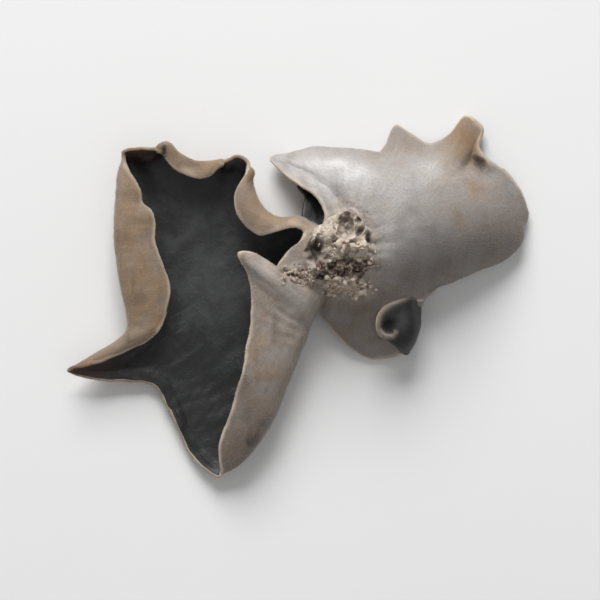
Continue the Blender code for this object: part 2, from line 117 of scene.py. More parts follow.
def cell_value(cells: np.ndarray, seed: int) -> np.ndarray:
    """A fixed number in 0..1 for every whole-number cell.

    Each coordinate is multiplied by its own odd constant, the three are joined by exclusive or with
    the seed, and the bits are mixed twice by shift and multiply.

    Args:
        cells: whole-number places, (..., 3).
        seed: picks another pattern.

    Returns:
        The numbers, (...).
    """
    mixed = np.uint32((seed * SEED_ODD) & 0xFFFFFFFF)
    for axis, odd in enumerate(AXIS_ODDS):
        mixed = mixed ^ cells[..., axis].astype(np.int64).astype(np.uint32) * np.uint32(odd)
    for shift, odd in MIXES:
        mixed = (mixed ^ (mixed >> np.uint32(shift))) * np.uint32(odd)
    mixed ^= mixed >> np.uint32(LAST_SHIFT)
    return mixed / 2.0**32


def noise(points: np.ndarray, seed: int = 0) -> np.ndarray:
    """Smooth noise in -1..1: the eight corners' numbers, blended by 6t^5 - 15t^4 + 10t^3.

    Args:
        points: places, (..., 3).
        seed: picks another pattern.

    Returns:
        The noise, (...).
    """
    base = np.floor(points)
    t = points - base
    t = t * t * t * (t * (t * 6.0 - 15.0) + 10.0)
    total = np.zeros(points.shape[:-1])
    for corner in np.ndindex(2, 2, 2):
        share = np.prod(np.where(np.array(corner) == 1, t, 1.0 - t), axis=-1)
        total += share * cell_value(base + np.array(corner), seed)
    return total * 2.0 - 1.0


def layered(points: np.ndarray, octaves: int = 3, seed: int = 0, fall: float = 0.5) -> np.ndarray:
    """Noise at rising pitch: the sum of fall^k times the noise at 2.03^k, over the sum of fall^k.

    Args:
        points: places, (..., 3).
        octaves: how many layers.
        seed: picks another pattern.
        fall: strength of each layer over the last.

    Returns:
        The noise in -1..1, (...).
    """
    total = sum(
        fall**k * noise(points * OCTAVE**k + OCTAVE_SHIFT * k, seed + k) for k in range(octaves)
    )
    return total / sum(fall**k for k in range(octaves))


def cells(points: np.ndarray, seed: int = 0) -> tuple[np.ndarray, np.ndarray, np.ndarray]:
    """Distance to the nearest and the second nearest of one scattered point a cell.

    Args:
        points: places in cells, (..., 3).
        seed: picks another scatter.

    Returns:
        The two distances, and a number in 0..1 that belongs to the nearest point, each (...).
    """
    base = np.floor(points)
    near = np.full(points.shape[:-1], np.inf)
    second = near.copy()
    own = np.zeros(near.shape)
    for step in np.ndindex(3, 3, 3):
        cell = base + np.array(step) - 1.0
        offset = np.stack([cell_value(cell, seed + 31 * k) for k in range(3)], axis=-1)
        away = np.linalg.norm(cell + offset - points, axis=-1)
        own = np.where(away < near, offset[..., 0], own)
        second = np.minimum(second, np.maximum(near, away))
        near = np.minimum(near, away)
    return near, second, own


def circled(radius: float, angle: np.ndarray, third: np.ndarray) -> np.ndarray:
    """Places on a circle at an angle, with a third coordinate: (r cos a, r sin a, third).

    Args:
        radius: r.
        angle: a in radians.
        third: the third coordinate, which broadcasts with the angle.

    Returns:
        The places, (..., 3).
    """
    parts = np.broadcast_arrays(radius * np.cos(angle), radius * np.sin(angle), third)
    return np.stack(parts, axis=-1)


def placed(points: np.ndarray) -> np.ndarray:
    """Points in metres in the model's frame, from millimetres about the foot, kept above the floor.

    Args:
        points: places in millimetres from the foot, (..., 3).

    Returns:
        The points, (..., 3).
    """
    shift = np.array([*FOOT_FROM_CENTRE, -FLATTENING])
    moved = (np.asarray(points, dtype=float) + shift) * MM
    moved[..., 2] = np.maximum(moved[..., 2], 0.0)
    return moved


@dataclass(frozen=True)
class Blot:
    """A soft round patch on the fungus seen from above."""

    x: float
    y: float
    radius: float
    strength: float = 1.0
    stretch: float = 1.0  # how many times longer it is along its turn
    turn: float = 0.0  # degrees from +X


def oval(points: np.ndarray, patch: "Blot | Dent") -> tuple[np.ndarray, np.ndarray]:
    """How far points are from a patch's middle along and across its turn, over its radii there.

    Args:
        points: places in millimetres from the foot, (..., 3).
        patch: the blot or dent.

    Returns:
        The share of the way along and across, each (...).
    """
    angle = np.radians(patch.turn)
    away = points[..., :2] - np.array([patch.x, patch.y])
    along = away @ np.array([np.cos(angle), np.sin(angle)]) / (patch.radius * patch.stretch)
    across = away @ np.array([-np.sin(angle), np.cos(angle)]) / patch.radius
    return along, across


def blotted(points: np.ndarray, blots: tuple[Blot, ...]) -> np.ndarray:
    """The blots summed: strength * exp(-d^2), with d the distance over the radius along and across.

    Args:
        points: places in millimetres from the foot, (..., 3).
        blots: the patches.

    Returns:
        The mask, (...), clipped to 0..1.
    """
    total = np.zeros(points.shape[:-1])
    for blot in blots:
        along, across = oval(points, blot)
        total += blot.strength * np.exp(-(along**2) - across**2)
    return held(total)


@dataclass(frozen=True)
class Dent:
    """An oval hollow seen from above, with a raised lip round it; a knob if its depth is negative."""

    x: float
    y: float
    radius: float
    depth: float
    stretch: float = 1.0
    turn: float = 0.0
    lip: float = 0.0  # height of the raised lip
    dark: float = 1.0  # how dark the painted shade inside it is
    above: float = 8.5  # only what is higher than this is pressed

    def press(self, points: np.ndarray, waver: np.ndarray) -> tuple[np.ndarray, np.ndarray]:
        """Height -depth * exp(-q^4) + lip * exp(-((q - 1.35) / 0.35)^2) and shade dark * exp(-q^4).

        Args:
            points: places in millimetres from the foot, (..., 3).
            waver: what q, the distance over the radius, is multiplied by, (...).

        Returns:
            The height in millimetres and the shade, which both fade out below a level.
        """
        reach = np.hypot(*oval(points, self)) * waver
        inside = np.exp(-(reach**4))
        level = smooth_step(self.above, self.above + DENT_FADE, points[..., 2])
        ring = np.exp(-(((reach - DENT_LIP[0]) / DENT_LIP[1]) ** 2))
        return (self.lip * ring - self.depth * inside) * level, self.dark * inside * level


def dented(points: np.ndarray, dents: tuple[Dent, ...]) -> tuple[np.ndarray, np.ndarray]:
    """What several dents do together, their outlines wavering with a noise of the place.

    Args:
        points: places in millimetres from the foot, (..., 3).
        dents: the dents.

    Returns:
        The sum of their heights in millimetres, and of their shades.
    """
    share, pitch = DENT_WAVER
    waver = 1.0 + share * noise(points * np.array([1.0, 1.0, 0.0]) / pitch, 61)
    height, shade = np.zeros(points.shape[:-1]), np.zeros(points.shape[:-1])
    for dent in dents:
        up, deep = dent.press(points, waver)
        height += up
        shade += deep
    return height, shade


@dataclass(frozen=True)
class Scar:
    """The rough ground round the foot, the same for every piece that passes through it.

    It moves points up and down only, by a height that hardly depends on how high they are, so that
    sheets which lie over each other keep their distance.
    """

    x: float = 3.9  # its middle seen from above
    y: float = 0.6
    wide: float = 7.4  # how far it reaches along X
    high: float = 11.2  # and along Y
    levels: tuple[float, float] = (6.5, 9.0)  # heights between which it fades in
    arm: Blot = Blot(-3.6, -4.0, 2.6, 1.0, 1.9, -14.0)  # its part on the broad flap
    arm_edge: tuple[float, float] = (0.2, 0.7)  # strengths of the arm between which it starts
    pitch: float = 1.55  # from knob to knob
    knobs: float = 0.70  # height of the knobs
    ground: float = 0.6  # the share of it that lies below the flesh
    squash: float = 0.35  # how slowly the knobs change upwards, next to sideways
    stray: float = 0.35  # how far they are off their cells, in pitches
    roundness: float = 0.8  # radius of a knob, in pitches
    sharpness: float = 4.0  # how narrow the cracks between them are
    cracked: float = 0.45  # how dark the painted shade in those cracks is
    fine_pitch: float = 0.62
    fine_knobs: float = 0.24
    lumps: float = 0.55  # height of the slow lumps
    lump_pitch: float = 2.6
    cobbles: Blot = Blot(5.4, -7.2, 2.7, 1.0, 1.55, -4.0)  # pale cobbled ground below the foot
    cobble_edge: tuple[float, float] = (0.25, 0.75)  # strengths between which the cobbles start
    cobble_cracked: float = 0.40  # how much more painted shade the cracks have there
    cobble_rise: float = 0.8  # how much rougher it is there
    cobble_husk_and_painted_light: float = 0.6  # and how much paler, partly as painted light on that shaded slope
    smooth: Blot = Blot(4.0, 5.9, 2.4, 0.80, 1.4, 78.0)  # where the ring is, with few knobs
    # pits that hold painted shade; those with a negative dark take painted shade away
    dents: tuple[Dent, ...] = (
        Dent(-2.5, 1.3, 1.60, 3.2, 1.60, 84.0, 0.50, 0.86),
        Dent(-3.0, 3.0, 0.42, -1.9, 2.2, 58.0, 0.0, -1.1),
        Dent(-1.7, 2.2, 0.30, -1.5, 1.6, 70.0, 0.0, -0.8),
        Dent(4.0, 5.9, 1.45, 1.3, 1.70, 76.0, 1.35, 0.28),
        Dent(4.2, 6.6, 0.40, -0.6, 2.0, 60.0, 0.0, -0.2),
        Dent(7.1, 5.1, 0.65, 1.1, 1.6, 70.0, 0.38, 0.60),
        Dent(6.9, 7.4, 0.50, 0.7, 1.6, 100.0, 0.30, 0.35),
        Dent(2.0, 2.9, 0.50, 0.9, 1.5, 10.0, 0.25, 0.45),
        Dent(8.9, 3.3, 0.58, 1.2, 2.3, 92.0, 0.10, 0.85),
        Dent(4.4, 3.2, 0.85, -1.2, 1.4, 20.0, 0.0, -0.2),
        Dent(6.3, 3.2, 0.80, -1.3, 1.2, -30.0, 0.0, -0.2),
        Dent(7.9, 2.4, 0.75, -1.2, 1.3, 60.0, 0.0, -0.2),
        Dent(5.6, 1.6, 0.75, -1.0, 1.3, 0.0, 0.0, -0.2),
        Dent(7.4, 0.8, 0.60, -0.8, 1.3, 30.0, 0.0, -0.2),
        Dent(5.6, 1.0, 2.10, -1.3, 1.6, -8.0, 0.0, -0.1),
        Dent(2.2, 2.4, 0.70, -0.5, 1.2, 10.0, 0.0, -0.1),
        Dent(0.9, -2.3, 0.75, 0.9, 1.5, 20.0, 0.15, 0.35),
        Dent(3.0, -3.5, 0.65, 0.8, 1.5, -20.0, 0.15, 0.35),
        Dent(4.7, -1.7, 0.60, 0.7, 1.6, 60.0, 0.15, 0.30),
        Dent(6.5, -3.0, 0.70, 0.8, 1.5, 10.0, 0.15, 0.35),
        Dent(8.3, -2.0, 0.55, 0.7, 1.6, 80.0, 0.15, 0.30),
        Dent(-1.2, -4.4, 0.70, 1.1, 1.9, 12.0, 0.25, 0.60),
        Dent(-8.0, -4.2, 0.45, 1.1, 4.4, -20.0, 0.25, 0.85),
    )

    def amount(self, points: np.ndarray) -> np.ndarray:
        """1 at the foot, falling by exp(-d^4) over its width and height, or along its arm.

        Args:
            points: places in millimetres from the foot, (..., 3).

        Returns:
            The amount in 0..1, (...).
        """
        away = np.hypot((points[..., 0] - self.x) / self.wide, (points[..., 1] - self.y) / self.high)
        arm = smooth_step(*self.arm_edge, blotted(points, (self.arm,)))
        return np.maximum(np.exp(-(away**4)), arm) * smooth_step(*self.levels, points[..., 2])

    def cobbled(self, points: np.ndarray) -> np.ndarray:
        """1 on the pale cobbled ground below the foot, 0 away from it."""
        return smooth_step(*self.cobble_edge, blotted(points, (self.cobbles,)))

    def knobbly(
        self, points: np.ndarray, pitch: float, seed: int
    ) -> tuple[np.ndarray, np.ndarray, np.ndarray]:
        """Round knobs at scattered cells, sqrt(1 - (near / 0.8)^2), and the cracks between them.

        Args:
            points: places in millimetres from the foot, (..., 3).
            pitch: millimetres from knob to knob.
            seed: picks another scatter.

        Returns:
            The knobs' height, the cracks between them and each knob's own number, all in 0..1.
        """
        place = points * np.array([1.0, 1.0, self.squash]) / pitch
        place = place + self.stray * noise(points / (1.2 * pitch), seed)[..., None]
        near, second, own = cells(place, seed + 2)
        rise = np.sqrt(held(1.0 - (near / self.roundness) ** 2))
        return rise, held(1.0 - (second - near) * self.sharpness), own

    def crust(self, points: np.ndarray) -> tuple[np.ndarray, np.ndarray, np.ndarray]:
        """What the finishes need to know: the painted shade of the pits and cracks, the knobs and each knob's
        own number.

        Args:
            points: places in millimetres from the foot, (..., 3).

        Returns:
            The three, each in 0..1, (...).
        """
        rise, crack, own = self.knobbly(points, self.pitch, 51)
        amount = self.amount(points)
        cobbled = self.cobbled(points)
        pit_shades = dented(points, self.dents)[1]
        # painted shade in the cracks between knobs, more on the cobbles
        pit_shades = pit_shades + crack * (self.cracked * amount**3 + self.cobble_cracked * cobbled)
        return held(pit_shades), held(rise * amount * (1.0 + self.cobble_husk_and_painted_light * cobbled)), own

    def height(self, points: np.ndarray) -> np.ndarray:
        """Coarse and fine knobs and lumps times the amount, and the dents, in millimetres.

        Args:
            points: places in millimetres from the foot, (..., 3).

        Returns:
            The height, (...).
        """
        rise, _, own = self.knobbly(points, self.pitch, 51)
        fine, _, _ = self.knobbly(points, self.fine_pitch, 63)
        rough = self.knobs * (rise - self.ground) * (0.5 + own) + self.fine_knobs * fine
        rough = rough + self.lumps * layered(points / self.lump_pitch, 3, 57, 0.6)
        even = blotted(points, (self.smooth,))
        rough = rough * (1.0 - even + self.cobble_rise * self.cobbled(points))
        return rough * self.amount(points) + dented(points, self.dents)[0]

    def pressed(self, points: np.ndarray) -> np.ndarray:
        """The points moved by the height.

        Args:
            points: places in millimetres from the foot, (..., 3).

        Returns:
            The moved points, (..., 3).
        """
        moved = np.array(points, dtype=float)
        moved[..., 2] += self.height(points)
        return moved


SCAR = Scar()


# Skins and meshes


@dataclass
class Skin:
    """A closed skin: rings of points from one pole round the free edge to the other pole."""

    points: np.ndarray  # (columns, rows, 3), millimetres from the foot
    poles: np.ndarray  # (2, 3)
    values: dict[str, np.ndarray]  # one number or vector a point, (columns, rows[, 3])
    finish_of_row: np.ndarray  # material index of the faces after each row, (rows,)

    def faces(self) -> tuple[list, np.ndarray]:
        """Every quad of the grid and the two fans that close the poles.

        Returns:
            The faces as lists of vertex numbers, and the material index of each.
        """
        columns, rows = self.points.shape[:2]
        column = np.arange(columns)[:, None]
        after = (column + 1) % columns
        row = np.arange(rows - 1)[None, :]
        quads = np.stack(
            [column * rows + row, column * rows + row + 1, after * rows + row + 1, after * rows + row],
            axis=-1,
        ).reshape(-1, 4)
        first, last = columns * rows, columns * rows + 1
        here, there = column[:, 0] * rows, after[:, 0] * rows
        top = np.stack([np.full(columns, first), here, there], axis=-1)
        bottom = np.stack([here + rows - 1, np.full(columns, last), there + rows - 1], axis=-1)
        finishes = np.concatenate(
            [
                np.tile(self.finish_of_row[: rows - 1], columns),
                np.full(columns, self.finish_of_row[0]),
                np.full(columns, self.finish_of_row[-1]),
            ]
        )
        return quads.tolist() + top.tolist() + bottom.tolist(), finishes

    def vertices(self) -> np.ndarray:
        """The grid's points and then the two poles, pressed by the scar, in metres."""
        return placed(SCAR.pressed(np.concatenate([self.points.reshape(-1, 3), self.poles])))

    def attribute(self, name: str) -> np.ndarray:
        """One value a vertex, with the poles given the mean of the ring beside them.

        Args:
            name: the attribute's name.

        Returns:
            The values, (vertices[, 3]).
        """
        value = self.values[name]
        ends = np.stack([value[:, 0].mean(axis=0), value[:, -1].mean(axis=0)])
        return np.concatenate([value.reshape(-1, *value.shape[2:]), ends])


def store(mesh: bpy.types.Mesh, name: str, value: np.ndarray) -> None:
    """Writes one number or vector a vertex into the mesh as an attribute.

    Args:
        mesh: the mesh.
        name: the attribute's name, which the materials read.
        value: (vertices,) or (vertices, 3).
    """
    kind = "FLOAT" if value.ndim == 1 else "FLOAT_VECTOR"
    socket = "value" if value.ndim == 1 else "vector"
    attribute = mesh.attributes.new(name, kind, "POINT")
    attribute.data.foreach_set(socket, value.astype(np.float32).ravel())


def fetched(
    items: bpy.types.bpy_prop_collection, name: str, width: int = 1, kind: type = np.int32
) -> np.ndarray:
    """A property of every item of a mesh's collection.

    Args:
        items: the collection.
        name: the property.
        width: how many numbers it has.
        kind: the type of the numbers.

    Returns:
        The numbers, (items,) or (items, width).
    """
    numbers = np.empty(len(items) * width, kind)
    items.foreach_get(name, numbers)
    return numbers.reshape(-1, width) if width > 1 else numbers


def add_object(name: str, data: bpy.types.ID, place: Point = (0.0, 0.0, 0.0)) -> bpy.types.Object:
    """A new object of a mesh, lamp or camera at a place, linked to the scene.

    Args:
        name: its name.
        data: the mesh, lamp or camera.
        place: where it is, in metres.

    Returns:
        The object.
    """
    made = bpy.data.objects.new(name, data)
    made.location = place
    bpy.context.scene.collection.objects.link(made)
    return made


def add_mesh(
    name: str,
    vertices: np.ndarray,
    faces: list,
    values: dict[str, np.ndarray],
    materials: list[bpy.types.Material],
    finishes: np.ndarray | None = None,
) -> bpy.types.Object:
    """A new smooth-shaded object at the origin.

    Args:
        name: the piece's name.
        vertices: (n, 3) in metres.
        faces: lists of vertex numbers, facing outwards.
        values: attributes, one number or vector a vertex.
        materials: its materials in the order of finishes.
        finishes: material index of each face, or None for the first.

    Returns:
        The object, linked to the scene.
    """
    mesh = bpy.data.meshes.new(name)
    mesh.from_pydata(vertices.tolist(), [], faces)
    for key, value in values.items():
        store(mesh, key, value)
    for material in materials:
        mesh.materials.append(material)
    if finishes is not None:
        mesh.polygons.foreach_set("material_index", finishes.astype(np.int32))
    mesh.shade_smooth()
    mesh.update()
    return add_object(name, mesh)


# Finishes


def feed(tree: bpy.types.NodeTree, node: bpy.types.Node, inputs: dict) -> None:
    """Feeds a node's inputs: a socket is linked, anything else becomes the plain value.

    Args:
        tree: the node tree.
        node: the node.
        inputs: an input's name or number to the socket, number, vector or colour for it.
    """
    for key, value in inputs.items():
        if isinstance(value, Socket):
            tree.links.new(value, node.inputs[key])
        else:
            node.inputs[key].default_value = value


class Effects:
    """Shader node groups that several finishes share. Each puts out masks and heights only."""

    @staticmethod
    def group(
        name: str, inputs: dict[str, tuple[str, float]], outputs: tuple[str, ...]
    ) -> tuple[bpy.types.NodeTree, bpy.types.Node, bpy.types.Node]:
        """An empty node group.

        Args:
            name: its name.
            inputs: socket name to its kind, Float or Vector, and its default.
            outputs: names of the Float outputs.

        Returns:
            The tree, its input node and its output node.
        """
        tree = bpy.data.node_groups.new(name, "ShaderNodeTree")
        for key, (kind, default) in inputs.items():
            socket = tree.interface.new_socket(key, in_out="INPUT", socket_type=f"NodeSocket{kind}")
            if kind == "Float":
                socket.default_value = default
        for key in outputs:
            tree.interface.new_socket(key, in_out="OUTPUT", socket_type="NodeSocketFloat")
        return tree, tree.nodes.new("NodeGroupInput"), tree.nodes.new("NodeGroupOutput")

    @staticmethod
    def noise(tree: bpy.types.NodeTree, inputs: dict) -> Socket:
        """A Noise Texture; its vector and scale stay linked to the group's own sockets.

        Args:
            tree: the group's tree.
            inputs: the texture's inputs, as feed takes them.

        Returns:
            The socket of the noise.
        """
        node = tree.nodes.new("ShaderNodeTexNoise")
        feed(tree, node, inputs)
        return node.outputs["Fac"]

    @classmethod
    def nap(cls) -> bpy.types.NodeTree:
        """Short hairs laid away from the foot: noise drawn out along them, and a grain over it.

        The streaks are noise of the nap coordinates, whose third is the way along the hairs and is
        shortened. The grain is noise of the object's own coordinates. The height is 0.55 of the
        streaks and the grain.

        Returns:
            The group's tree.
        """
        inputs = {
            "Nap": ("Vector", 0.0),
            "Place": ("Vector", 0.0),
            "Streak Scale": ("Float", 2.0),
            "Grain Scale": ("Float", 3500.0),
        }
        tree, given, result = cls.group("nap", inputs, ("Streak", "Grain", "Height"))
        nap, place, streak_scale, grain_scale = (given.outputs[key] for key in inputs)
        along = {"Vector": nap, "Scale": streak_scale, "Detail": 3.0, "Roughness": 0.6}
        over = {"Vector": place, "Scale": grain_scale, "Detail": 2.0, "Roughness": 0.65}
        streak, grain = cls.noise(tree, along), cls.noise(tree, over)
        height = tree.nodes.new("ShaderNodeMath")
        height.operation = "MULTIPLY_ADD"
        feed(tree, height, {0: streak, 1: 0.55, 2: grain})
        feed(tree, result, {"Streak": streak, "Grain": grain, "Height": height.outputs[0]})
        return tree

    @classmethod
    def mottle(cls) -> bpy.types.NodeTree:
        """Soft patches: noise bent by a coarser noise, and stretched between Low and High.

        Returns:
            The group's tree.
        """
        inputs = {
            "Place": ("Vector", 0.0),
            "Scale": ("Float", 120.0),
            "Low": ("Float", 0.4),
            "High": ("Float", 0.65),
        }
        tree, given, result = cls.group("mottle", inputs, ("Mask",))
        place, scale, low, high = (given.outputs[key] for key in inputs)
        soft = {"Vector": place, "Scale": scale, "Detail": 5.0, "Roughness": 0.6, "Distortion": 0.8}
        span = tree.nodes.new("ShaderNodeMapRange")
        span.interpolation_type = "SMOOTHSTEP"
        feed(tree, span, {"Value": cls.noise(tree, soft), "From Min": low, "From Max": high})
        feed(tree, result, {"Mask": span.outputs["Result"]})
        return tree


class Dressing:
    """A material in the making: its node tree, its shader and short ways to add nodes."""

    def __init__(self, name: str) -> None:
        """A material with an unlinked Principled shader and the object's coordinates.

        Args:
            name: the material's name.
        """
        self.material = bpy.data.materials.new(name)
        self.material.use_nodes = True
        self.tree = self.material.node_tree
        self.shader = self.tree.nodes["Principled BSDF"]
        self.place = self.tree.nodes.new("ShaderNodeTexCoord").outputs["Object"]

    def read(self, name: str, vector: bool = False) -> Socket:
        """The mesh's attribute of that name as a socket.

        Args:
            name: the attribute.
            vector: whether it is a vector, not a number.

        Returns:
            Its socket.
        """
        node = self.tree.nodes.new("ShaderNodeAttribute")
        node.attribute_name = name
        return node.outputs["Vector" if vector else "Fac"]

    def effect(self, name: str, values: dict) -> bpy.types.NodeOutputs:
        """A shared group placed in the material.

        Args:
            name: the group's name.
            values: an input's name to its number or to the socket that feeds it.

        Returns:
            The group node's outputs.
        """
        node = self.tree.nodes.new("ShaderNodeGroup")
        node.node_tree = bpy.data.node_groups[name]
        feed(self.tree, node, values)
        return node.outputs

    def mottle(self, scale: float, low: float, high: float) -> Socket:
        """The mask of the shared soft patches."""
        values = {"Place": self.place, "Scale": scale, "Low": low, "High": high}
        return self.effect("mottle", values)["Mask"]

    def nap(self, nap: Socket, streaks: float, grain: float) -> bpy.types.NodeOutputs:
        """The shared streaks over the given coordinates and grain over the object's, by their scales."""
        values = {"Nap": nap, "Place": self.place, "Streak Scale": streaks, "Grain Scale": grain}
        return self.effect("nap", values)

    def math(self, operation: str, *values: Number, clamp: bool = False) -> Socket:
        """A Math node of the values, which are numbers or sockets.

        Args:
            operation: the node's operation.
            values: what it works on, in order.
            clamp: whether the result is kept in 0..1.

        Returns:
            The result's socket.
        """
        node = self.tree.nodes.new("ShaderNodeMath")
        node.operation = operation
        node.use_clamp = clamp
        feed(self.tree, node, dict(enumerate(values)))
        return node.outputs[0]

    def blend(self, mask: Number, under: Colour, over: Colour) -> Socket:
        """The colour over laid on under by the mask; each is a colour or a socket.

        Args:
            mask: how much of the upper colour shows.
            under: the lower colour.
            over: the upper colour.

        Returns:
            The mixed colour's socket.
        """
        node = self.tree.nodes.new("ShaderNodeMix")
        node.data_type = "RGBA"
        feed(self.tree, node, {"Factor": mask})
        slots = [slot for slot, socket in enumerate(node.inputs) if socket.type == "RGBA"]
        for slot, colour in zip(slots, (under, over)):
            linked = isinstance(colour, Socket)
            feed(self.tree, node, {slot: colour if linked else (*colour, 1.0)})
        return next(socket for socket in node.outputs if socket.type == "RGBA")

    def mixed(self, mask: str, under: Colour, over: Colour) -> Socket:
        """The colour over laid on under by the attribute of that name."""
        return self.blend(self.read(mask), under, over)

    def varied(self, name: str, mask: Socket, share: float, back: float) -> Socket:
        """The attribute plus a share of a mask less a number, kept between 0 and 1."""
        moved = self.math("MULTIPLY_ADD", mask, share, self.read(name))
        return self.math("SUBTRACT", moved, back, clamp=True)

    def bump(
        self, height: Socket, distance: float, strength: float, under: Socket | None = None
    ) -> Socket:
        """A Bump node of a height socket over another normal.

        Args:
            height: the height.
            distance: metres that a height of one stands for.
            strength: how strongly it shows.
            under: the normal below, or None.

        Returns:
            The normal's socket.
        """
        node = self.tree.nodes.new("ShaderNodeBump")
        feed(self.tree, node, {"Height": height, "Distance": distance, "Strength": strength})
        if under is not None:
            feed(self.tree, node, {"Normal": under})
        return node.outputs["Normal"]

    def finish(
        self, colour: Socket, roughness: Number, normal: Socket | None, **numbers: float | Point
    ) -> bpy.types.Material:
        """Feeds the shader and sets its plain numbers.

        Args:
            colour: socket of the base colour.
            roughness: socket or number.
            normal: socket of the normal, or None to leave it.
            numbers: shader inputs by name, with _ for a space.

        Returns:
            The material.
        """
        feed(self.tree, self.shader, {"Base Color": colour, "Roughness": roughness})
        if normal is not None:
            feed(self.tree, self.shader, {"Normal": normal})
        feed(self.tree, self.shader, {key.replace("_", " "): value for key, value in numbers.items()})
        return self.material


@dataclass(frozen=True)
class DarkFace:
    """The smooth spore-bearing side: near black, satin, with a grey bloom in patches."""

    black: Point = (0.0105, 0.0108, 0.0115)
    # grey of the bloom, also that of a painted highlight
    bloom: Point = (0.060, 0.061, 0.063)
    red: Point = (0.045, 0.014, 0.010)
    lip: Point = (0.36, 0.29, 0.22)
    patchy: float = 0.48  # how much bloom there is in broad patches,
    specked: float = 0.16  # in small specks
    streaked: float = 0.24  # and in streaks along the hairs of the other side
    roughness: float = 0.46
    bloom_rougher: float = 0.22
    pit_rougher: float = 0.5

    def material(self) -> bpy.types.Material:
        """Black under bloom by the mottle, with a painted highlight and painted shade in places, reddish
        where the flesh is thin, black painted shade in the pits, finely wrinkled.

        Returns:
            The material.
        """
        made = Dressing("dark_face")
        broad = made.mottle(scale=110.0, low=0.36, high=0.72)
        fine = made.mottle(scale=620.0, low=0.35, high=0.7)
        nap = made.nap(made.read("nap", True), streaks=1.6, grain=3500.0)
        # bloom patches, with a painted highlight where the bloom attribute holds one
        patches = made.math("MULTIPLY_ADD", broad, self.patchy, made.read("bloom"))
        patches = made.math("MULTIPLY_ADD", fine, self.specked, patches)
        patches = made.math("MULTIPLY_ADD", nap["Streak"], self.streaked, patches)
        # less the shade attribute, which holds painted shade in places
        patches = made.math("SUBTRACT", patches, made.read("shade"), clamp=True)
        colour = made.blend(patches, self.black, self.bloom)
        colour = made.mixed("thin", colour, self.red)
        colour = made.mixed("lip", colour, self.lip)
        # black painted shade in the pits
        colour = made.mixed("pit", colour, self.black)
        rough = made.math("MULTIPLY_ADD", patches, self.bloom_rougher, self.roughness)
        rough = made.math("MULTIPLY_ADD", made.read("pit"), self.pit_rougher, rough, clamp=True)
        normal = made.bump(nap["Height"], 0.00012, 0.35)
        normal = made.bump(fine, 0.00010, 0.3, normal)
        return made.finish(colour, rough, normal)


@dataclass(frozen=True)
class VelvetBack:
    """The hairy side: dull tan-grey, paler at the margin, streaked by the lie of its hairs."""

    tan: Point = (0.330, 0.218, 0.126)
    grey: Point = (0.320, 0.294, 0.277)
    # pale hairs, and the colour of the painted highlight
    silver: Point = (0.710, 0.695, 0.680)
    cream: Point = (0.66, 0.53, 0.40)
    # dark streaks and specks, and the painted shade of folds and hollows
    umber: Point = (0.075, 0.052, 0.038)
    amber: Point = (0.24, 0.135, 0.070)
    # pale husk of the rough ground, made paler as painted light on its shaded slope below the foot
    husk: Point = (0.56, 0.49, 0.41)
    straw: Point = (0.56, 0.415, 0.265)
    # painted shade in pits and cracks
    pit: Point = (0.020, 0.014, 0.011)
    streaks: tuple[float, float, float] = (-1.8, 1.1, 0.55)  # factor, start and depth of dark streaks
    specks: tuple[float, float, float] = (-2.2, 1.2, 0.35)  # and those of dark specks
    husk_share: float = 0.7  # how much of the husk's colour shows
    root_share: float = 0.15  # how silvery a hair is at its root
    tip_share: float = 0.35  # and how much more so at its tip
    glow: Point = (1.0, 0.8, 0.65)  # how far light of each colour goes in a hair

    def coat(self, made: Dressing) -> Socket:
        """Grey to tan by attribute and mottle, silver where the hairs are pale and where a highlight is
        painted, amber where thin.

        Args:
            made: the material in the making.

        Returns:
            The coat's colour.
        """
        warmth = made.varied("warmth", made.mottle(scale=150.0, low=0.35, high=0.68), 0.35, 0.15)
        colour = made.blend(warmth, self.grey, self.tan)
        # pale hairs and painted highlight
        colour = made.mixed("silver", colour, self.silver)
        return made.mixed("thin", colour, self.amber)

    def material(self) -> bpy.types.Material:
        """The coat under streaks and specks, umber painted shade in the folds, husk at the foot, partly
        painted light on the shaded slope below it, cream rims and black painted shade in the pits.

        Returns:
            The material.
        """
        made = Dressing("velvet_back")
        nap = made.nap(made.read("nap", True), streaks=2.4, grain=3800.0)
        factor, start, depth = self.streaks
        darker = made.math("MULTIPLY_ADD", nap["Streak"], factor, start, clamp=True)
        darker = made.math("MULTIPLY", darker, made.math("MULTIPLY", made.read("lie"), depth))
        colour = made.blend(darker, self.coat(made), self.umber)
        factor, start, depth = self.specks
        specks = made.math("MULTIPLY_ADD", nap["Grain"], factor, start, clamp=True)
        colour = made.blend(made.math("MULTIPLY", specks, depth), colour, self.umber)
        # painted shade of folds and hollows, with dark bands and streaks
        colour = made.mixed("crease", colour, self.umber)
        # pale husk, partly painted light below the foot
        husk = made.math("MULTIPLY", made.read("husk"), self.husk_share)
        colour = made.blend(husk, colour, self.husk)
        colour = made.mixed("rim", colour, self.cream)
        # black painted shade in the pits and cracks
        colour = made.mixed("pit", colour, self.pit)
        normal = made.bump(nap["Height"], 0.00018, 0.40)
        return made.finish(colour, 0.80, normal, Sheen_Weight=0.25, Sheen_Roughness=0.40)

    def hair(self) -> bpy.types.Material:
        """The coat's colours, paler towards each tip: silver on grey ground, straw on tan.

        Returns:
            The material.
        """
        made = Dressing("nap_hair")
        # painted shade of folds carried onto the hairs
        colour = made.mixed("crease", self.coat(made), self.umber)
        colour = made.mixed("rim", colour, self.cream)
        tip = made.math("MULTIPLY_ADD", made.read("tip"), self.tip_share, self.root_share)
        colour = made.blend(tip, colour, made.mixed("warmth", self.silver, self.straw))
        inside = {"Subsurface_Weight": 0.7, "Subsurface_Scale": 0.0002, "Subsurface_Radius": self.glow}
        return made.finish(colour, 0.6, None, Sheen_Weight=0.3, **inside)


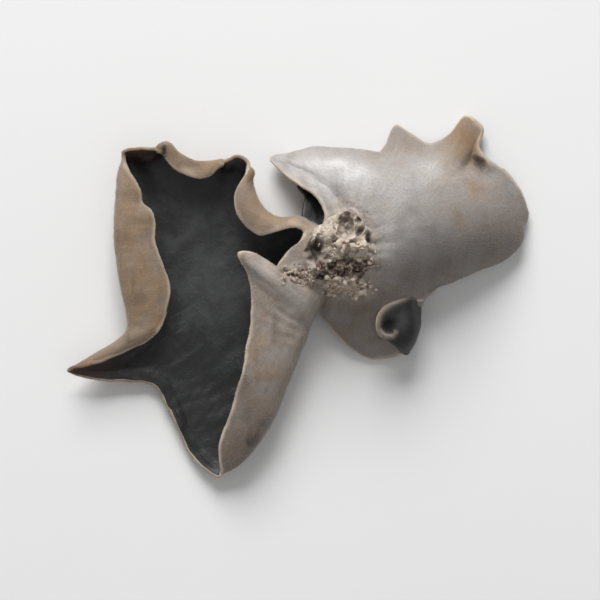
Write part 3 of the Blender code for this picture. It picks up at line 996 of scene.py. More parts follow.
@dataclass(frozen=True)
class CorkyFoot:
    """The scar where the fungus grew out of its block: corky, cream and brown, pitted."""

    cream: Point = (0.60, 0.52, 0.43)
    brown: Point = (0.120, 0.076, 0.057)
    # painted shade in pits and cracks
    pit: Point = (0.022, 0.015, 0.012)

    def material(self) -> bpy.types.Material:
        """Cream turning brown by attribute and mottle, black painted shade in the pits and cracks, coarse
        grain.

        Returns:
            The material.
        """
        made = Dressing("corky_foot")
        brown = made.varied("brown", made.mottle(scale=420.0, low=0.4, high=0.6), 0.5, 0.2)
        colour = made.blend(brown, self.cream, self.brown)
        # black painted shade in the pits and cracks
        colour = made.mixed("pit", colour, self.pit)
        nap = made.nap(made.place, streaks=1400.0, grain=2600.0)
        return made.finish(colour, 0.92, made.bump(nap["Height"], 0.00030, 0.7))


@dataclass(frozen=True)
class BlockCrumb:
    """Granules of the growing block: cream husk and dark brown dust."""

    cream: Point = (0.64, 0.54, 0.44)
    brown: Point = (0.120, 0.072, 0.053)

    def material(self) -> bpy.types.Material:
        """Each granule between cream and brown by its own attribute, and grained.

        Returns:
            The material.
        """
        made = Dressing("block_crumb")
        brown = made.varied("brown", made.mottle(scale=900.0, low=0.35, high=0.7), 0.35, 0.15)
        colour = made.blend(brown, self.cream, self.brown)
        nap = made.nap(made.place, streaks=2500.0, grain=4200.0)
        return made.finish(colour, 0.9, made.bump(nap["Height"], 0.00020, 0.6))


@dataclass(frozen=True)
class PaleFloor:
    """The plain pale surface that the fungus lies on."""

    colour: Point = (0.86, 0.86, 0.86)
    darker: float = 0.985  # how dark its faint patches are, over that

    def material(self) -> bpy.types.Material:
        """One pale colour, broken by a faint mottle so that it isn't quite flat.

        Returns:
            The material.
        """
        made = Dressing("pale_floor")
        mottle = made.mottle(scale=9.0, low=0.2, high=0.8)
        darker = tuple(channel * self.darker for channel in self.colour)
        colour = made.blend(mottle, self.colour, darker)
        return made.finish(colour, 0.8, made.bump(mottle, 0.00001, 0.1))


# The ears


class Up(Enum):
    """Which side of an ear looks up at its pole."""

    FACE = "face"
    BACK = "back"


@dataclass(frozen=True)
class Rib:
    """One rib from the pole to the free edge, in millimetres from the foot."""

    crest: Point  # the widest point, or for an open margin a point short of the edge
    edge: Point  # the free edge
    lean: float = 90.0  # slope of the flesh as it passes the crest: 90 is upright


@dataclass(frozen=True)
class Relief:
    """Heights and pitches in millimetres of what bends or wrinkles an ear."""

    sway: float = 0.35  # slow undulation of the whole sheet
    sway_pitch: float = 9.0
    flutter: float = 0.30  # waviness of the free edge
    flutter_pitch: float = 5.5
    ragged: float = 0.42  # how far the free edge wanders in and out in the sheet
    ragged_pitch: float = 3.4
    pleats: float = 0.10  # fine folds along the ribs, growing to the edge
    pleat_pitch: float = 1.9
    face_pleats: float = 0.5  # how high they are on the smooth side, over the hairy side
    pucker: float = 0.50  # folds that radiate from the foot
    pucker_reach: float = 11.0  # how far they run from it
    pucker_circle: float = 5.0  # radius of the circle of noise that they are read from
    pucker_drift: float = 0.12  # how fast they change on their way out
    back_grain: float = 0.06  # low lumps of the hairy side
    back_pitch: float = 1.3
    face_grain: float = 0.03  # low lumps of the smooth side
    face_pitch: float = 1.7
    ripples: float = 0.22  # shrinkage ripples of the smooth side, where they are
    ripple_pitch: Point = (3.8, 1.25, 3.0)  # along them, across them and upwards
    ripple_turn: float = 38.0  # degrees from +X that they run in


@dataclass(frozen=True)
class Marks:
    """Widths, pitches and strengths of what colours an ear, lengths in millimetres."""

    rim: float = 0.42  # width of the cream rim
    rim_varied: float = 0.22  # how far that varies
    rim_pitch: float = 2.2
    rim_broad: float = 1.3  # how much wider it is where the ear is rimmed
    rim_least: float = 0.35  # what is left of it where it fades
    gap_pitch: float = 6.0  # from one faded place to the next
    gaps: tuple[float, float] = (-0.55, 0.35)  # noise between which it comes back
    lip: float = 0.75  # width of the pale lip of the dark side where the ear is rimmed
    warm_pitch: float = 9.0  # of the broad patches of warmth
    warm_share: float = 0.75
    warm_fine: float = 3.6  # and of the finer ones over them
    shade: float = 0.34  # how much bloom is held back everywhere
    painted_shade: float = 0.38  # and how much more where shade is painted
    # strength of the pale hairs and painted highlight, how far it varies and over what pitch
    silver: float = 0.8
    silver_and_highlight_varied: float = 0.3
    silver_and_highlight_pitch: float = 2.6
    band: float = 0.30  # how dark the bands across the hairs are
    band_pitch: float = 1.3
    band_circle: float = 2.0  # radius of the circle of noise that they are read from
    bands: tuple[float, float] = (-0.3, 0.7)  # noise between which they start
    stain_pitch: Point = (1.9, 4.6, 3.0)  # of the dark streaks, which run along Y
    stains: tuple[float, float] = (0.0, 0.9)  # noise between which they start
    ground: float = 0.25  # how pale the rough ground is between its knobs
    knobs: float = 0.75  # and how much paler on them
    knobs_varied: float = 0.6  # least paleness of a knob, and how far that varies
    lie_reach: float = 13.0  # how far from the foot the lie of the hairs shows well


@dataclass(frozen=True)
class Ear:
    """A sheet of flesh bent about a pole: control points from ribs, a Bezier skin over them."""

    name: str
    up: Up
    pole: Point  # lowest or highest point of the sheet, which the ribs run out from
    ribs: tuple[Rib, ...]
    reach: float  # where the first handle is on the way from the pole to the crest
    spread: tuple[float, float]  # blur of the two handles round the pole, as a share of the turn
    columns: int
    inner_rows: int  # from the pole to the crest
    outer_rows: int  # from there to the free edge
    seed: int
    calm: float = 0.0  # widest blur of the rings by the pole, as a share of the turn
    rim_rows: int = 5
    rim_finish: Up = Up.BACK  # which side's finish the free edge has
    relief: Relief = field(default_factory=Relief)
    marks: Marks = field(default_factory=Marks)
    bloom: tuple[Blot, ...] = ()  # grey bloom patches of the dark side, and painted highlights
    painted_shade: tuple[Blot, ...] = ()  # painted shade, where the bloom is held back
    thin: tuple[Blot, ...] = ()  # where light shows through
    warm: tuple[Blot, ...] = ()  # where the hairy side is more or less tan
    warmth: float = 0.5
    silver: tuple[Blot, ...] = ()  # where its hairs are pale, and where a highlight is painted
    crease: tuple[Blot, ...] = ()  # painted shade of hollows and folds
    rimless: tuple[Blot, ...] = ()  # where the edge has no cream rim
    rimmed: tuple[Blot, ...] = ()  # where it has a broad one
    lipped: tuple[Blot, ...] = ()  # pale patches of the curl's dark side
    zoned: tuple[Blot, ...] = ()  # where bands run across the hairs
    dents: tuple[Dent, ...] = ()
    rippled: tuple[Blot, ...] = ()  # where the dark side has ripples
    blotchy: float = 0.30  # how far the warmth varies from place to place
    soiled: float = 0.12  # how far the back is darker in streaks along Y
    hair_lines: float = 0.25  # how well the lie of the hairs shows away from the foot

    def control_rings(self) -> np.ndarray:
        """The seven Bezier points of every rib: pole, two handles, crest, two handles, free edge.

        The bend before the crest is no longer than the height that it has to turn in. A rolled
        margin bows over its crest by a rise that grows with its width, and dips to its edge.

        Returns:
            The points, (ribs, 7, 3).
        """
        pole = np.array(self.pole)
        crest = np.array([rib.crest for rib in self.ribs])
        edge = np.array([rib.edge for rib in self.ribs])
        lean = np.radians([[rib.lean] for rib in self.ribs])
        level = np.array([1.0, 1.0, 0.0])
        upward = np.array([0.0, 0.0, 1.0])
        outward = unit((crest - pole) * level)
        distance = np.linalg.norm((crest - pole) * level, axis=1, keepdims=True)
        along = outward * np.cos(lean) + upward * np.sin(lean)
        above_floor = crest[:, 2:] - LOWEST_MIDDLE
        below_pole = np.abs(pole[2] - crest[:, 2:]) * FALL_SHARE
        room = np.where(lean > 0, above_floor, below_pole)
        bend = np.minimum(distance * BEND_SHARE, room / np.maximum(np.abs(np.sin(lean)), LEAST_SINE))
        chord = edge - crest
        width = np.linalg.norm(chord, axis=1, keepdims=True)
        rolled = held((lean - np.radians(ROLLED_FROM)) / np.radians(ROLLED_OVER))
        bow = width * OPEN_HANDLE * (1 - rolled) + (ROLL_RISE + ROLL_RISE_SHARE * width) * rolled
        dip = np.radians(ROLL_DIP) * rolled
        arrive = unit(chord * level) * np.cos(dip) - upward * np.sin(dip)
        arrive = unit(unit(chord) * (1 - rolled) + arrive * rolled)
        return np.stack(
            [
                np.broadcast_to(pole, crest.shape),
                pole + outward * distance * self.reach,
                crest - along * bend,
                crest,
                crest + along * bow,
                edge - arrive * width * OPEN_HANDLE,
                edge,
            ],
            axis=1,
        )

    @staticmethod
    def evened(ring: np.ndarray, spread: float) -> np.ndarray:
        """A closed ring of points blurred along itself by a bell curve of that share of the turn.

        Args:
            ring: the points, (points, ...).
            spread: the share of the turn.

        Returns:
            The blurred ring.
        """
        waves = np.fft.rfft(ring, axis=0)
        number = np.arange(len(waves)).reshape(-1, *[1] * (ring.ndim - 1))
        return np.fft.irfft(waves * np.exp(-0.5 * (2 * np.pi * number * spread) ** 2), len(ring), axis=0)

    def rings_around(self) -> np.ndarray:
        """The control rings at even steps round the pole, by cubic Hermite curves through the ribs.

        Returns:
            The rings, (columns, 7, 3).
        """
        rings = self.control_rings()
        gap = np.linalg.norm(np.roll(rings, -1, axis=0) - rings, axis=2)
        step = np.sqrt(gap[:, 3]) + np.sqrt(gap[:, 6])
        slope = (np.roll(rings, -1, axis=0) - rings) / step[:, None, None]
        before, after = np.roll(step, 1)[:, None, None], step[:, None, None]
        tangent = (after * np.roll(slope, 1, axis=0) + before * slope) / (before + after)
        knots = np.concatenate([[0.0], np.cumsum(step)])
        places = np.linspace(0.0, knots[-1], self.columns, endpoint=False)
        index = np.clip(np.searchsorted(knots, places, side="right") - 1, 0, len(step) - 1)
        following = (index + 1) % len(step)
        t = ((places - knots[index]) / step[index])[:, None, None]
        stride = step[index][:, None, None]
        result = (
            (2 * t**3 - 3 * t**2 + 1) * rings[index]
            + (t**3 - 2 * t**2 + t) * stride * tangent[index]
            + (3 * t**2 - 2 * t**3) * rings[following]
            + (t**3 - t**2) * stride * tangent[following]
        )
        for handle in (1, 2):
            result[:, handle] = self.evened(result[:, handle], self.spread[handle - 1])
        bow = np.linalg.norm(result[:, 4] - result[:, 3], axis=1, keepdims=True)
        result[:, 4] = result[:, 3] + unit(result[:, 3] - result[:, 2]) * bow
        return result

    def middle(self) -> np.ndarray:
        """The middle of the flesh, (columns, rows, 3): two cubic Beziers a column, pole left out.

        Returns:
            The sheet's points.
        """
        rings = self.rings_around()
        ways = (
            np.linspace(0.0, 1.0, self.inner_rows + 1)[1:] ** INNER_CROWDING,
            np.linspace(0.0, 1.0, self.outer_rows + 1)[1:],
        )
        parts = []
        for start, way in zip((0, 3), ways):
            t = way[None, :, None]
            a, b, c, d = (rings[:, start + k, None, :] for k in range(4))
            parts.append((1 - t) ** 3 * a + 3 * t * (1 - t) ** 2 * b + 3 * t**2 * (1 - t) * c + t**3 * d)
        sheet = np.concatenate(parts, axis=1)
        crest = sheet[:, self.inner_rows - 1]
        following = np.roll(crest, -1, axis=0)
        turn = np.sum(crest[:, 0] * following[:, 1] - crest[:, 1] * following[:, 0])
        sheet = sheet if turn > 0 else sheet[::-1]
        if self.calm:
            ease = 1.0 - smooth_step(0.0, 1.0, ways[0])
            for row, share in enumerate(ease):
                sheet[:, row] = self.evened(sheet[:, row], self.calm * share)
        return sheet

    def normals(self, sheet: np.ndarray) -> np.ndarray:
        """Unit normals, up at the pole: the step out crossed with the step round.

        Args:
            sheet: the middle of the flesh, (columns, rows, 3).

        Returns:
            The normals, (columns, rows, 3).
        """
        round_step = np.roll(sheet, -1, axis=0) - np.roll(sheet, 1, axis=0)
        out_step = np.gradient(sheet, axis=1)
        return unit(np.cross(out_step, round_step))

    def across(self) -> np.ndarray:
        """The way from pole to edge of each row, 0..1 by count of rows."""
        return np.linspace(0.0, 1.0, self.inner_rows + self.outer_rows)[None, :]

    def edge_distance(self, sheet: np.ndarray) -> np.ndarray:
        """Millimetres from each point to the free edge along its column.

        Args:
            sheet: the middle of the flesh, (columns, rows, 3).

        Returns:
            The distances, (columns, rows).
        """
        steps = np.linalg.norm(np.diff(sheet, axis=1), axis=2)
        rest = np.cumsum(steps[:, ::-1], axis=1)[:, ::-1]
        return np.concatenate([rest, np.zeros((len(sheet), 1))], axis=1)

    def ring_wave(self, sheet: np.ndarray, pitch: float, seed: int) -> np.ndarray:
        """Noise that runs along the ribs: it turns with the edge's own length and hardly goes out.

        Args:
            sheet: the middle of the flesh.
            pitch: millimetres of edge to one wave.
            seed: picks another pattern.

        Returns:
            The noise in -1..1, (columns, rows).
        """
        edge = sheet[:, -1]
        length = np.linalg.norm(np.roll(edge, -1, axis=0) - edge, axis=1)
        angle = 2 * np.pi * np.cumsum(length) / length.sum()
        radius = length.sum() / (2 * np.pi) / pitch
        turning = circled(radius, angle[:, None], self.across() * RIB_DRIFT)
        return layered(turning, 3, seed)

    def from_foot(self, points: np.ndarray) -> tuple[np.ndarray, np.ndarray]:
        """Distance from the foot and the compass direction from it, seen from above."""
        away = points - np.array(FOOT_CENTRE)
        return np.linalg.norm(away, axis=-1), np.arctan2(away[..., 1], away[..., 0])

    def nap_place(self, points: np.ndarray) -> np.ndarray:
        """Coordinates for streaks that run away from the foot: a circle of noise and a slow third."""
        distance, angle = self.from_foot(points)
        return circled(NAP_CIRCLE, angle, distance * NAP_DRIFT)

    def bent(self, sheet: np.ndarray) -> np.ndarray:
        """The sheet with its slow undulation, its ragged and fluttering edge, and folds at the foot.

        Args:
            sheet: the middle of the flesh, (columns, rows, 3).

        Returns:
            The bent sheet.
        """
        relief = self.relief
        normal = self.normals(sheet)
        free = smooth_step(0.0, 1.0, self.across())
        out = unit(np.gradient(sheet, axis=1))
        wander = relief.ragged * self.ring_wave(sheet, relief.ragged_pitch, self.seed + 5) * free**5
        sheet = sheet + out * wander[..., None]
        sway = relief.sway * layered(sheet / relief.sway_pitch, 2, self.seed)
        sway = sway * smooth_step(0.0, 0.15, self.across())
        flutter = relief.flutter * self.ring_wave(sheet, relief.flutter_pitch, self.seed + 3) * free**3
        distance, angle = self.from_foot(sheet)
        spokes = circled(relief.pucker_circle, angle, distance * relief.pucker_drift)
        pucker = relief.pucker * layered(spokes, 3, self.seed + 7)
        pucker = pucker * np.exp(-((distance / relief.pucker_reach) ** 2))
        return sheet + normal * (sway + flutter + pucker)[..., None]

    def half_thickness(self, sheet: np.ndarray) -> np.ndarray:
        """Half the flesh: thinner to the margin, thicker by the foot.

        Args:
            sheet: the middle of the flesh, (columns, rows, 3).

        Returns:
            The thickness, (columns, rows).
        """
        distance, _ = self.from_foot(sheet)
        share = 1.0 - (1.0 - MARGIN_SHARE) * self.across() ** 4
        return FLESH / 2 * (share + FOOT_EXTRA * np.exp(-((distance / FOOT_SPREAD) ** 2)))

    def side_relief(self, sheet: np.ndarray, side: Up) -> np.ndarray:
        """What stands on one side of the sheet: lumps and pleats on the back, ripples on the face.

        Args:
            sheet: the middle of the flesh, (columns, rows, 3).
            side: the side.

        Returns:
            The height in millimetres, (columns, rows).
        """
        relief = self.relief
        quiet = 1.0 - smooth_step(0.9, 1.0, self.across())
        inner = smooth_step(0.0, 0.12, self.across())
        growing = smooth_step(0.35, 0.95, self.across())
        pleats = relief.pleats * self.ring_wave(sheet, relief.pleat_pitch, self.seed + 11) * growing
        if side is Up.BACK:
            lumps = relief.back_grain * layered(sheet / relief.back_pitch, 2, self.seed + 13)
            return (lumps * inner + pleats) * quiet
        angle = np.radians(relief.ripple_turn)
        along = sheet[..., 0] * np.cos(angle) + sheet[..., 1] * np.sin(angle)
        across = sheet[..., 1] * np.cos(angle) - sheet[..., 0] * np.sin(angle)
        place = np.stack([along, across, sheet[..., 2]], axis=-1) / np.array(relief.ripple_pitch)
        ripples = relief.ripples * layered(place, 2, self.seed + 19) * blotted(sheet, self.rippled)
        lumps = relief.face_grain * layered(sheet / relief.face_pitch, 2, self.seed + 21)
        return ((ripples + lumps) * inner + relief.face_pleats * pleats) * quiet

    def skin(self) -> Skin:
        """The closed skin: the upper side, a half-round rim and the lower side.

        Returns:
            The skin with its attributes.
        """
        sheet = self.bent(self.middle())
        normal = self.normals(sheet)
        half = self.half_thickness(sheet)
        lower_side = Up.BACK if self.up is Up.FACE else Up.FACE
        above = sheet + normal * (half + self.side_relief(sheet, self.up))[..., None]
        below = sheet - normal * (half + self.side_relief(sheet, lower_side))[..., None]
        turn = np.radians(np.linspace(90.0, -90.0, self.rim_rows + 2)[1:-1])[None, :, None]
        out = unit(sheet[:, -1] - sheet[:, -2])[:, None]
        edge_half = half[:, -1][:, None, None]
        rim = sheet[:, -1][:, None] + edge_half * (out * np.cos(turn) + normal[:, -1][:, None] * np.sin(turn))
        points = np.concatenate([above, rim, below[:, ::-1]], axis=1)

        poles = np.stack([above[:, 0].mean(axis=0), below[:, 0].mean(axis=0)])
        if not self.calm:
            poles[:, 2] = (np.array(self.pole) + half[:, 0].mean() * UP_AND_DOWN)[:, 2]

        rows = sheet.shape[1]
        face, back = 0, 1
        upper = face if self.up is Up.FACE else back
        edge = face if self.rim_finish is Up.FACE else back
        finish = np.repeat([upper, edge, 1 - upper], [rows, self.rim_rows, rows])
        finish[rows - 1] = edge
        values = self.values(sheet, points)
        points[..., 2] += dented(points, self.dents)[0]
        return Skin(points, poles, values, finish)

    def rimming(self, sheet: np.ndarray, points: np.ndarray) -> tuple[np.ndarray, np.ndarray]:
        """The cream rim of the hairy side and the pale lip of the dark one.

        Args:
            sheet: the middle of the flesh.
            points: the skin, upper side, rim and lower side.

        Returns:
            How strong each is, (columns, rows of the skin).
        """
        marks = self.marks
        edge = self.edge_distance(sheet)
        edge = np.concatenate([edge, np.zeros((len(sheet), self.rim_rows)), edge[:, ::-1]], axis=1)
        broad = blotted(points, self.rimmed)
        width = marks.rim + marks.rim_varied * noise(points / marks.rim_pitch, self.seed + 23)
        width = width * (1.0 + marks.rim_broad * broad)
        shown = smooth_step(*marks.gaps, layered(points / marks.gap_pitch, 2, self.seed + 25))
        shown = np.maximum(marks.rim_least + (1.0 - marks.rim_least) * shown, broad)
        shown = shown * (1.0 - blotted(points, self.rimless))
        ringed = blotted(points, self.lipped)
        ringed = ringed * smooth_step(CURL_LEVEL, CURL_LEVEL + DENT_FADE, points[..., 2])
        lip = np.exp(-((edge / marks.lip) ** 2)) * broad + ringed
        return np.exp(-((edge / width) ** 2)) * shown, held(lip)

    def values(self, sheet: np.ndarray, points: np.ndarray) -> dict[str, np.ndarray]:
        """The attributes that the two finishes read, one a point of the skin.

        Args:
            sheet: the middle of the flesh.
            points: the skin, (columns, rows of the skin, 3).

        Returns:
            Attribute name to values.
        """
        marks, seed = self.marks, self.seed
        rim, lip = self.rimming(sheet, points)
        distance, angle = self.from_foot(points)
        varied = marks.warm_share * layered(points / marks.warm_pitch, 2, seed + 29)
        varied = varied + noise(points / marks.warm_fine, seed + 31)
        pit_shades, rise, own = SCAR.crust(points)
        husk = (marks.ground * SCAR.amount(points) + marks.knobs * rise) * (1.0 + own) * marks.knobs_varied
        bands = circled(marks.band_circle, angle, distance / marks.band_pitch)[..., [2, 0, 1]]
        zones = smooth_step(*marks.bands, noise(bands, seed + 33)) * blotted(points, self.zoned)
        stained = smooth_step(*marks.stains, layered(points / np.array(marks.stain_pitch), 2, seed + 37))
        pale = marks.silver + marks.silver_and_highlight_varied * noise(points / marks.silver_and_highlight_pitch, seed + 35)
        return {
            "nap": self.nap_place(points),
            "rim": rim,
            "lip": lip,
            "warmth": held(self.warmth + self.blotchy * varied + blotted(points, self.warm)),
            "bloom": blotted(points, self.bloom),
            # bloom held back everywhere, and more where shade is painted
            "shade": marks.shade + marks.painted_shade * blotted(points, self.painted_shade),
            "thin": blotted(points, self.thin),
            # pale hairs and painted highlight
            "silver": blotted(points, self.silver) * pale,
            # painted shade of folds, with dark bands and streaks across and along the hairs
            "crease": held(blotted(points, self.crease) + marks.band * zones + self.soiled * stained),
            # painted shade in pits and cracks
            "pit": held(pit_shades + dented(points, self.dents)[1]),
            # pale husk, partly painted light below the foot
            "husk": held(husk),
            "lie": held(self.hair_lines + np.exp(-((distance / marks.lie_reach) ** 2))),
        }

    def build(self, finishes: list[bpy.types.Material]) -> bpy.types.Object:
        """Makes the ear from its skin.

        Args:
            finishes: the face's material and the back's.

        Returns:
            The piece.
        """
        skin = self.skin()
        faces, finish = skin.faces()
        values = {name: skin.attribute(name) for name in skin.values}
        return add_mesh(self.name, skin.vertices(), faces, values, finishes, finish)


LEFT_RIBS = (
    # Right margin, a broad flap folded back over the dark face, narrowing away from the foot.
    Rib((1.5, -5.5, 9.0), (-8.6, -5.9, 11.4)),
    Rib((0.0, -7.0, 8.6), (-11.6, -4.8, 10.9)),
    Rib((-1.0, -8.8, 8.2), (-13.9, -1.5, 10.8)),
    Rib((-1.8, -10.6, 7.8), (-16.4, 0.6, 10.7)),
    Rib((-2.6, -12.2, 7.4), (-19.1, 0.3, 10.4)),
    Rib((-3.4, -14.4, 7.1), (-16.8, -4.4, 10.0)),
    Rib((-4.3, -16.8, 7.0), (-16.0, -10.6, 9.5)),
    Rib((-5.4, -19.6, 7.0), (-16.9, -18.2, 9.0)),
    Rib((-7.8, -25.7, 6.5), (-18.3, -25.4, 8.5)),
    Rib((-10.8, -32.4, 6.0), (-19.8, -31.0, 8.0)),
    Rib((-14.2, -39.2, 5.5), (-21.4, -36.5, 7.0)),
    Rib((-18.6, -45.0, 4.5), (-23.4, -42.2, 6.0)),
    # Lower end and lower left margin, open and low.
    Rib((-23.0, -46.5, 2.8), (-23.3, -48.6, 4.0), 35.0),
    Rib((-27.2, -42.8, 2.0), (-28.6, -44.8, 2.8), 22.0),
    Rib((-31.0, -36.8, 1.8), (-32.6, -38.4, 2.5), 22.0),
    Rib((-33.6, -31.2, 1.8), (-35.3, -32.8, 2.5), 22.0),
    Rib((-36.8, -26.4, 2.0), (-37.6, -28.6, 2.6), 22.0),
    # The long tongue.
    Rib((-43.0, -25.2, 2.8), (-43.4, -27.5, 3.3), 20.0),
    Rib((-50.0, -25.3, 4.2), (-50.6, -27.0, 4.6), 18.0),
    Rib((-54.0, -24.6, 5.6), (-56.7, -25.2, 6.4), 18.0),
    Rib((-50.8, -22.0, 5.4), (-50.2, -23.3, 6.7), 80.0),
    Rib((-45.6, -19.1, 5.9), (-42.8, -20.1, 7.4)),
    # Left margin, rolled in.
    Rib((-43.4, -16.8, 6.5), (-37.4, -17.0, 8.0)),
    Rib((-43.4, -12.4, 7.0), (-35.2, -12.2, 7.8)),
    Rib((-44.6, -6.6, 7.0), (-34.7, -6.6, 7.8)),
    Rib((-45.6, 0.2, 7.0), (-37.0, 0.2, 8.2)),
    Rib((-45.9, 3.6, 7.0), (-38.0, 3.4, 8.4)),
    Rib((-46.0, 7.0, 7.0), (-38.0, 6.8, 8.6)),
    Rib((-45.9, 9.9, 6.9), (-38.5, 9.8, 8.7)),
    Rib((-45.8, 11.9, 6.9), (-40.4, 11.5, 8.6)),
    Rib((-45.7, 14.4, 6.8), (-41.1, 14.2, 8.6)),
    Rib((-45.2, 18.8, 6.2), (-43.4, 18.8, 8.2)),
    # Upper left corner and the short open edge beside it.
    Rib((-43.3, 21.2, 5.2), (-44.7, 22.8, 7.4), 55.0),
    Rib((-38.6, 21.2, 5.6), (-38.6, 23.4, 7.8), 55.0),
    # Upper margin, a narrow roll.
    Rib((-35.2, 24.1, 6.4), (-36.0, 22.5, 8.2)),
    Rib((-32.6, 21.9, 6.0), (-33.7, 19.8, 8.0)),
    Rib((-29.2, 20.3, 5.5), (-29.6, 17.6, 8.0)),
    Rib((-25.2, 20.3, 5.7), (-25.6, 18.0, 8.0)),
    Rib((-23.2, 20.3, 6.1), (-23.2, 19.9, 8.7), 84.0),
    # Knob, dark to its edge.
    Rib((-21.7, 19.0, 6.5), (-21.7, 20.8, 8.6), 62.0),
    Rib((-19.8, 19.4, 7.0), (-19.6, 21.6, 9.2), 62.0),
    Rib((-18.0, 18.4, 7.0), (-17.3, 20.2, 9.2), 66.0),
    # Upper right margin, a broader roll.
    Rib((-16.8, 18.2, 7.1), (-17.6, 17.6, 9.6), 84.0),
    Rib((-17.1, 16.3, 7.3), (-19.3, 13.2, 9.1)),
    Rib((-16.3, 13.1, 7.4), (-18.9, 8.8, 9.2)),
    Rib((-13.9, 9.7, 7.4), (-15.0, 4.9, 9.2)),
    Rib((-10.2, 7.7, 7.7), (-11.2, 5.6, 9.9)),
    # Loop of the margin beside the foot, standing on edge.
    Rib((-6.2, 7.5, 8.3), (-6.8, 6.6, 11.2), 84.0),
    Rib((-2.8, 6.2, 8.8), (-4.6, 5.2, 11.4), 88.0),
    # Small flap folded over at the foot, and the slit between it and the broad flap.
    Rib((1.6, 5.4, 9.2), (-6.0, 2.5, 11.6)),
    Rib((4.4, 3.2, 9.8), (-8.4, 0.5, 11.4)),
    Rib((5.0, 1.4, 10.0), (-10.0, -1.9, 11.3)),
    Rib((5.0, -0.4, 10.0), (-10.8, -4.0, 11.3)),
    Rib((4.2, -2.2, 10.0), (-5.6, -5.0, 12.0)),
)

RIGHT_RIBS = (
    # Left rim, rising from the long tip at the surface to the foot.
    Rib((3.0, 5.6, 12.8), (-1.0, 5.0, 11.4), -25.0),
    Rib((3.0, 8.6, 12.8), (-0.1, 8.8, 11.8), -20.0),
    Rib((1.6, 12.5, 11.3), (-1.7, 12.4, 10.7), -12.0),
    Rib((-2.0, 16.2, 9.0), (-5.4, 15.4, 8.7), -6.0),
    Rib((-5.6, 19.0, 7.0), (-8.8, 18.0, 6.5), -10.0),
    Rib((-8.4, 21.0, 5.4), (-12.0, 21.5, 3.4), -28.0),
    # Top margin, turned under.
    Rib((-2.6, 23.4, 4.6), (-2.4, 22.0, 0.8), -82.0),
    Rib((4.7, 23.0, 4.5), (4.7, 21.4, 0.4), -90.0),
    Rib((10.4, 22.4, 4.2), (10.2, 21.2, 0.5), -88.0),
    # The two small tips and the valley between them.
    Rib((13.6, 21.8, 4.2), (13.4, 24.4, 1.6), -50.0),
    Rib((15.9, 23.2, 4.0), (15.4, 28.7, 0.9), -40.0),
    Rib((18.2, 22.8, 4.2), (18.4, 27.0, 1.4), -42.0),
    Rib((22.6, 21.8, 4.6), (23.2, 24.6, 2.0), -48.0),
    Rib((26.7, 23.2, 4.2), (27.9, 27.4, 1.6), -40.0),
    Rib((29.4, 25.2, 3.6), (30.9, 30.9, 1.0), -34.0),
    Rib((31.8, 24.4, 3.0), (34.3, 28.4, 2.8), -8.0),
    # Pinched notch, then the flared right rim.
    Rib((31.6, 20.6, 2.6), (33.4, 23.6, 3.8), 5.0),
    Rib((34.4, 18.2, 4.2), (36.2, 20.6, 4.4), -10.0),
    Rib((37.7, 15.4, 5.2), (39.9, 18.0, 3.6), -35.0),
    Rib((40.4, 11.9, 5.4), (43.0, 13.7, 3.0), -42.0),
    Rib((41.6, 8.0, 5.4), (44.2, 8.9, 2.4), -48.0),
    # Lower right margin, turned under.
    Rib((42.6, 3.8, 4.2), (42.0, 3.6, 0.8), -86.0),
    Rib((39.5, 0.0, 4.2), (38.6, 0.4, 0.4), -90.0),
    Rib((33.8, -2.6, 4.4), (33.0, -1.8, 0.4), -90.0),
    Rib((27.2, -5.2, 4.4), (26.5, -4.2, 0.6), -88.0),
    Rib((21.2, -7.4, 3.4), (22.6, -8.6, 2.8), -20.0),
    # Curl at the lower right, rolled up and back over the outside.
    Rib((21.0, -9.0, 4.6), (20.8, -9.8, 7.4), 75.0),
    Rib((20.4, -11.4, 6.0), (16.6, -9.3, 11.0), 90.0),
    Rib((20.2, -14.4, 6.2), (12.4, -11.4, 11.4), 90.0),
    Rib((19.2, -17.4, 5.8), (11.2, -15.0, 10.8), 90.0),
    Rib((18.2, -19.2, 5.0), (12.4, -17.6, 9.6), 88.0),
    Rib((17.6, -20.2, 4.6), (14.8, -17.8, 8.6), 88.0),
    # Lower tip and lower left edge, rising to the foot.
    Rib((16.0, -20.4, 4.0), (17.2, -21.0, 4.4), 20.0),
    Rib((13.2, -19.8, 3.6), (14.2, -22.2, 2.4), -35.0),
    Rib((10.2, -20.2, 3.6), (10.0, -22.4, 0.7), -50.0),
    Rib((6.8, -18.2, 5.0), (5.8, -20.0, 2.8), -50.0),
    Rib((3.4, -14.8, 6.6), (1.8, -16.4, 4.4), -50.0),
    Rib((1.4, -11.4, 8.6), (-1.0, -12.4, 6.4), -48.0),
    Rib((2.4, -7.6, 10.8), (-0.2, -7.8, 9.0), -35.0),
    Rib((3.2, -3.2, 12.4), (0.6, -3.2, 11.0), -25.0),
    Rib((3.0, 1.4, 12.8), (0.0, 1.4, 11.6), -20.0),
)

LIP_RIBS = (
    # Small lower lip under the left rim of the dome, joined to the foot.
    Rib((-1.4, 7.2, 7.2), (-4.4, 5.6, 8.8), 30.0),
    Rib((-2.4, 9.8, 6.4), (-4.9, 9.6, 7.4), 22.0),
    Rib((-2.2, 12.2, 5.8), (-4.6, 13.0, 6.0), 5.0),
    Rib((-3.0, 14.0, 4.6), (-6.2, 15.6, 3.8), -12.0),
    Rib((-0.6, 14.8, 4.8), (-1.8, 17.2, 3.8), -15.0),
    Rib((3.4, 13.6, 5.2), (4.4, 16.0, 4.4), -12.0),
    Rib((5.0, 10.0, 6.4), (7.0, 9.6, 7.0), 15.0),
    Rib((3.6, 6.4, 8.2), (4.4, 3.6, 10.6), 40.0),
)

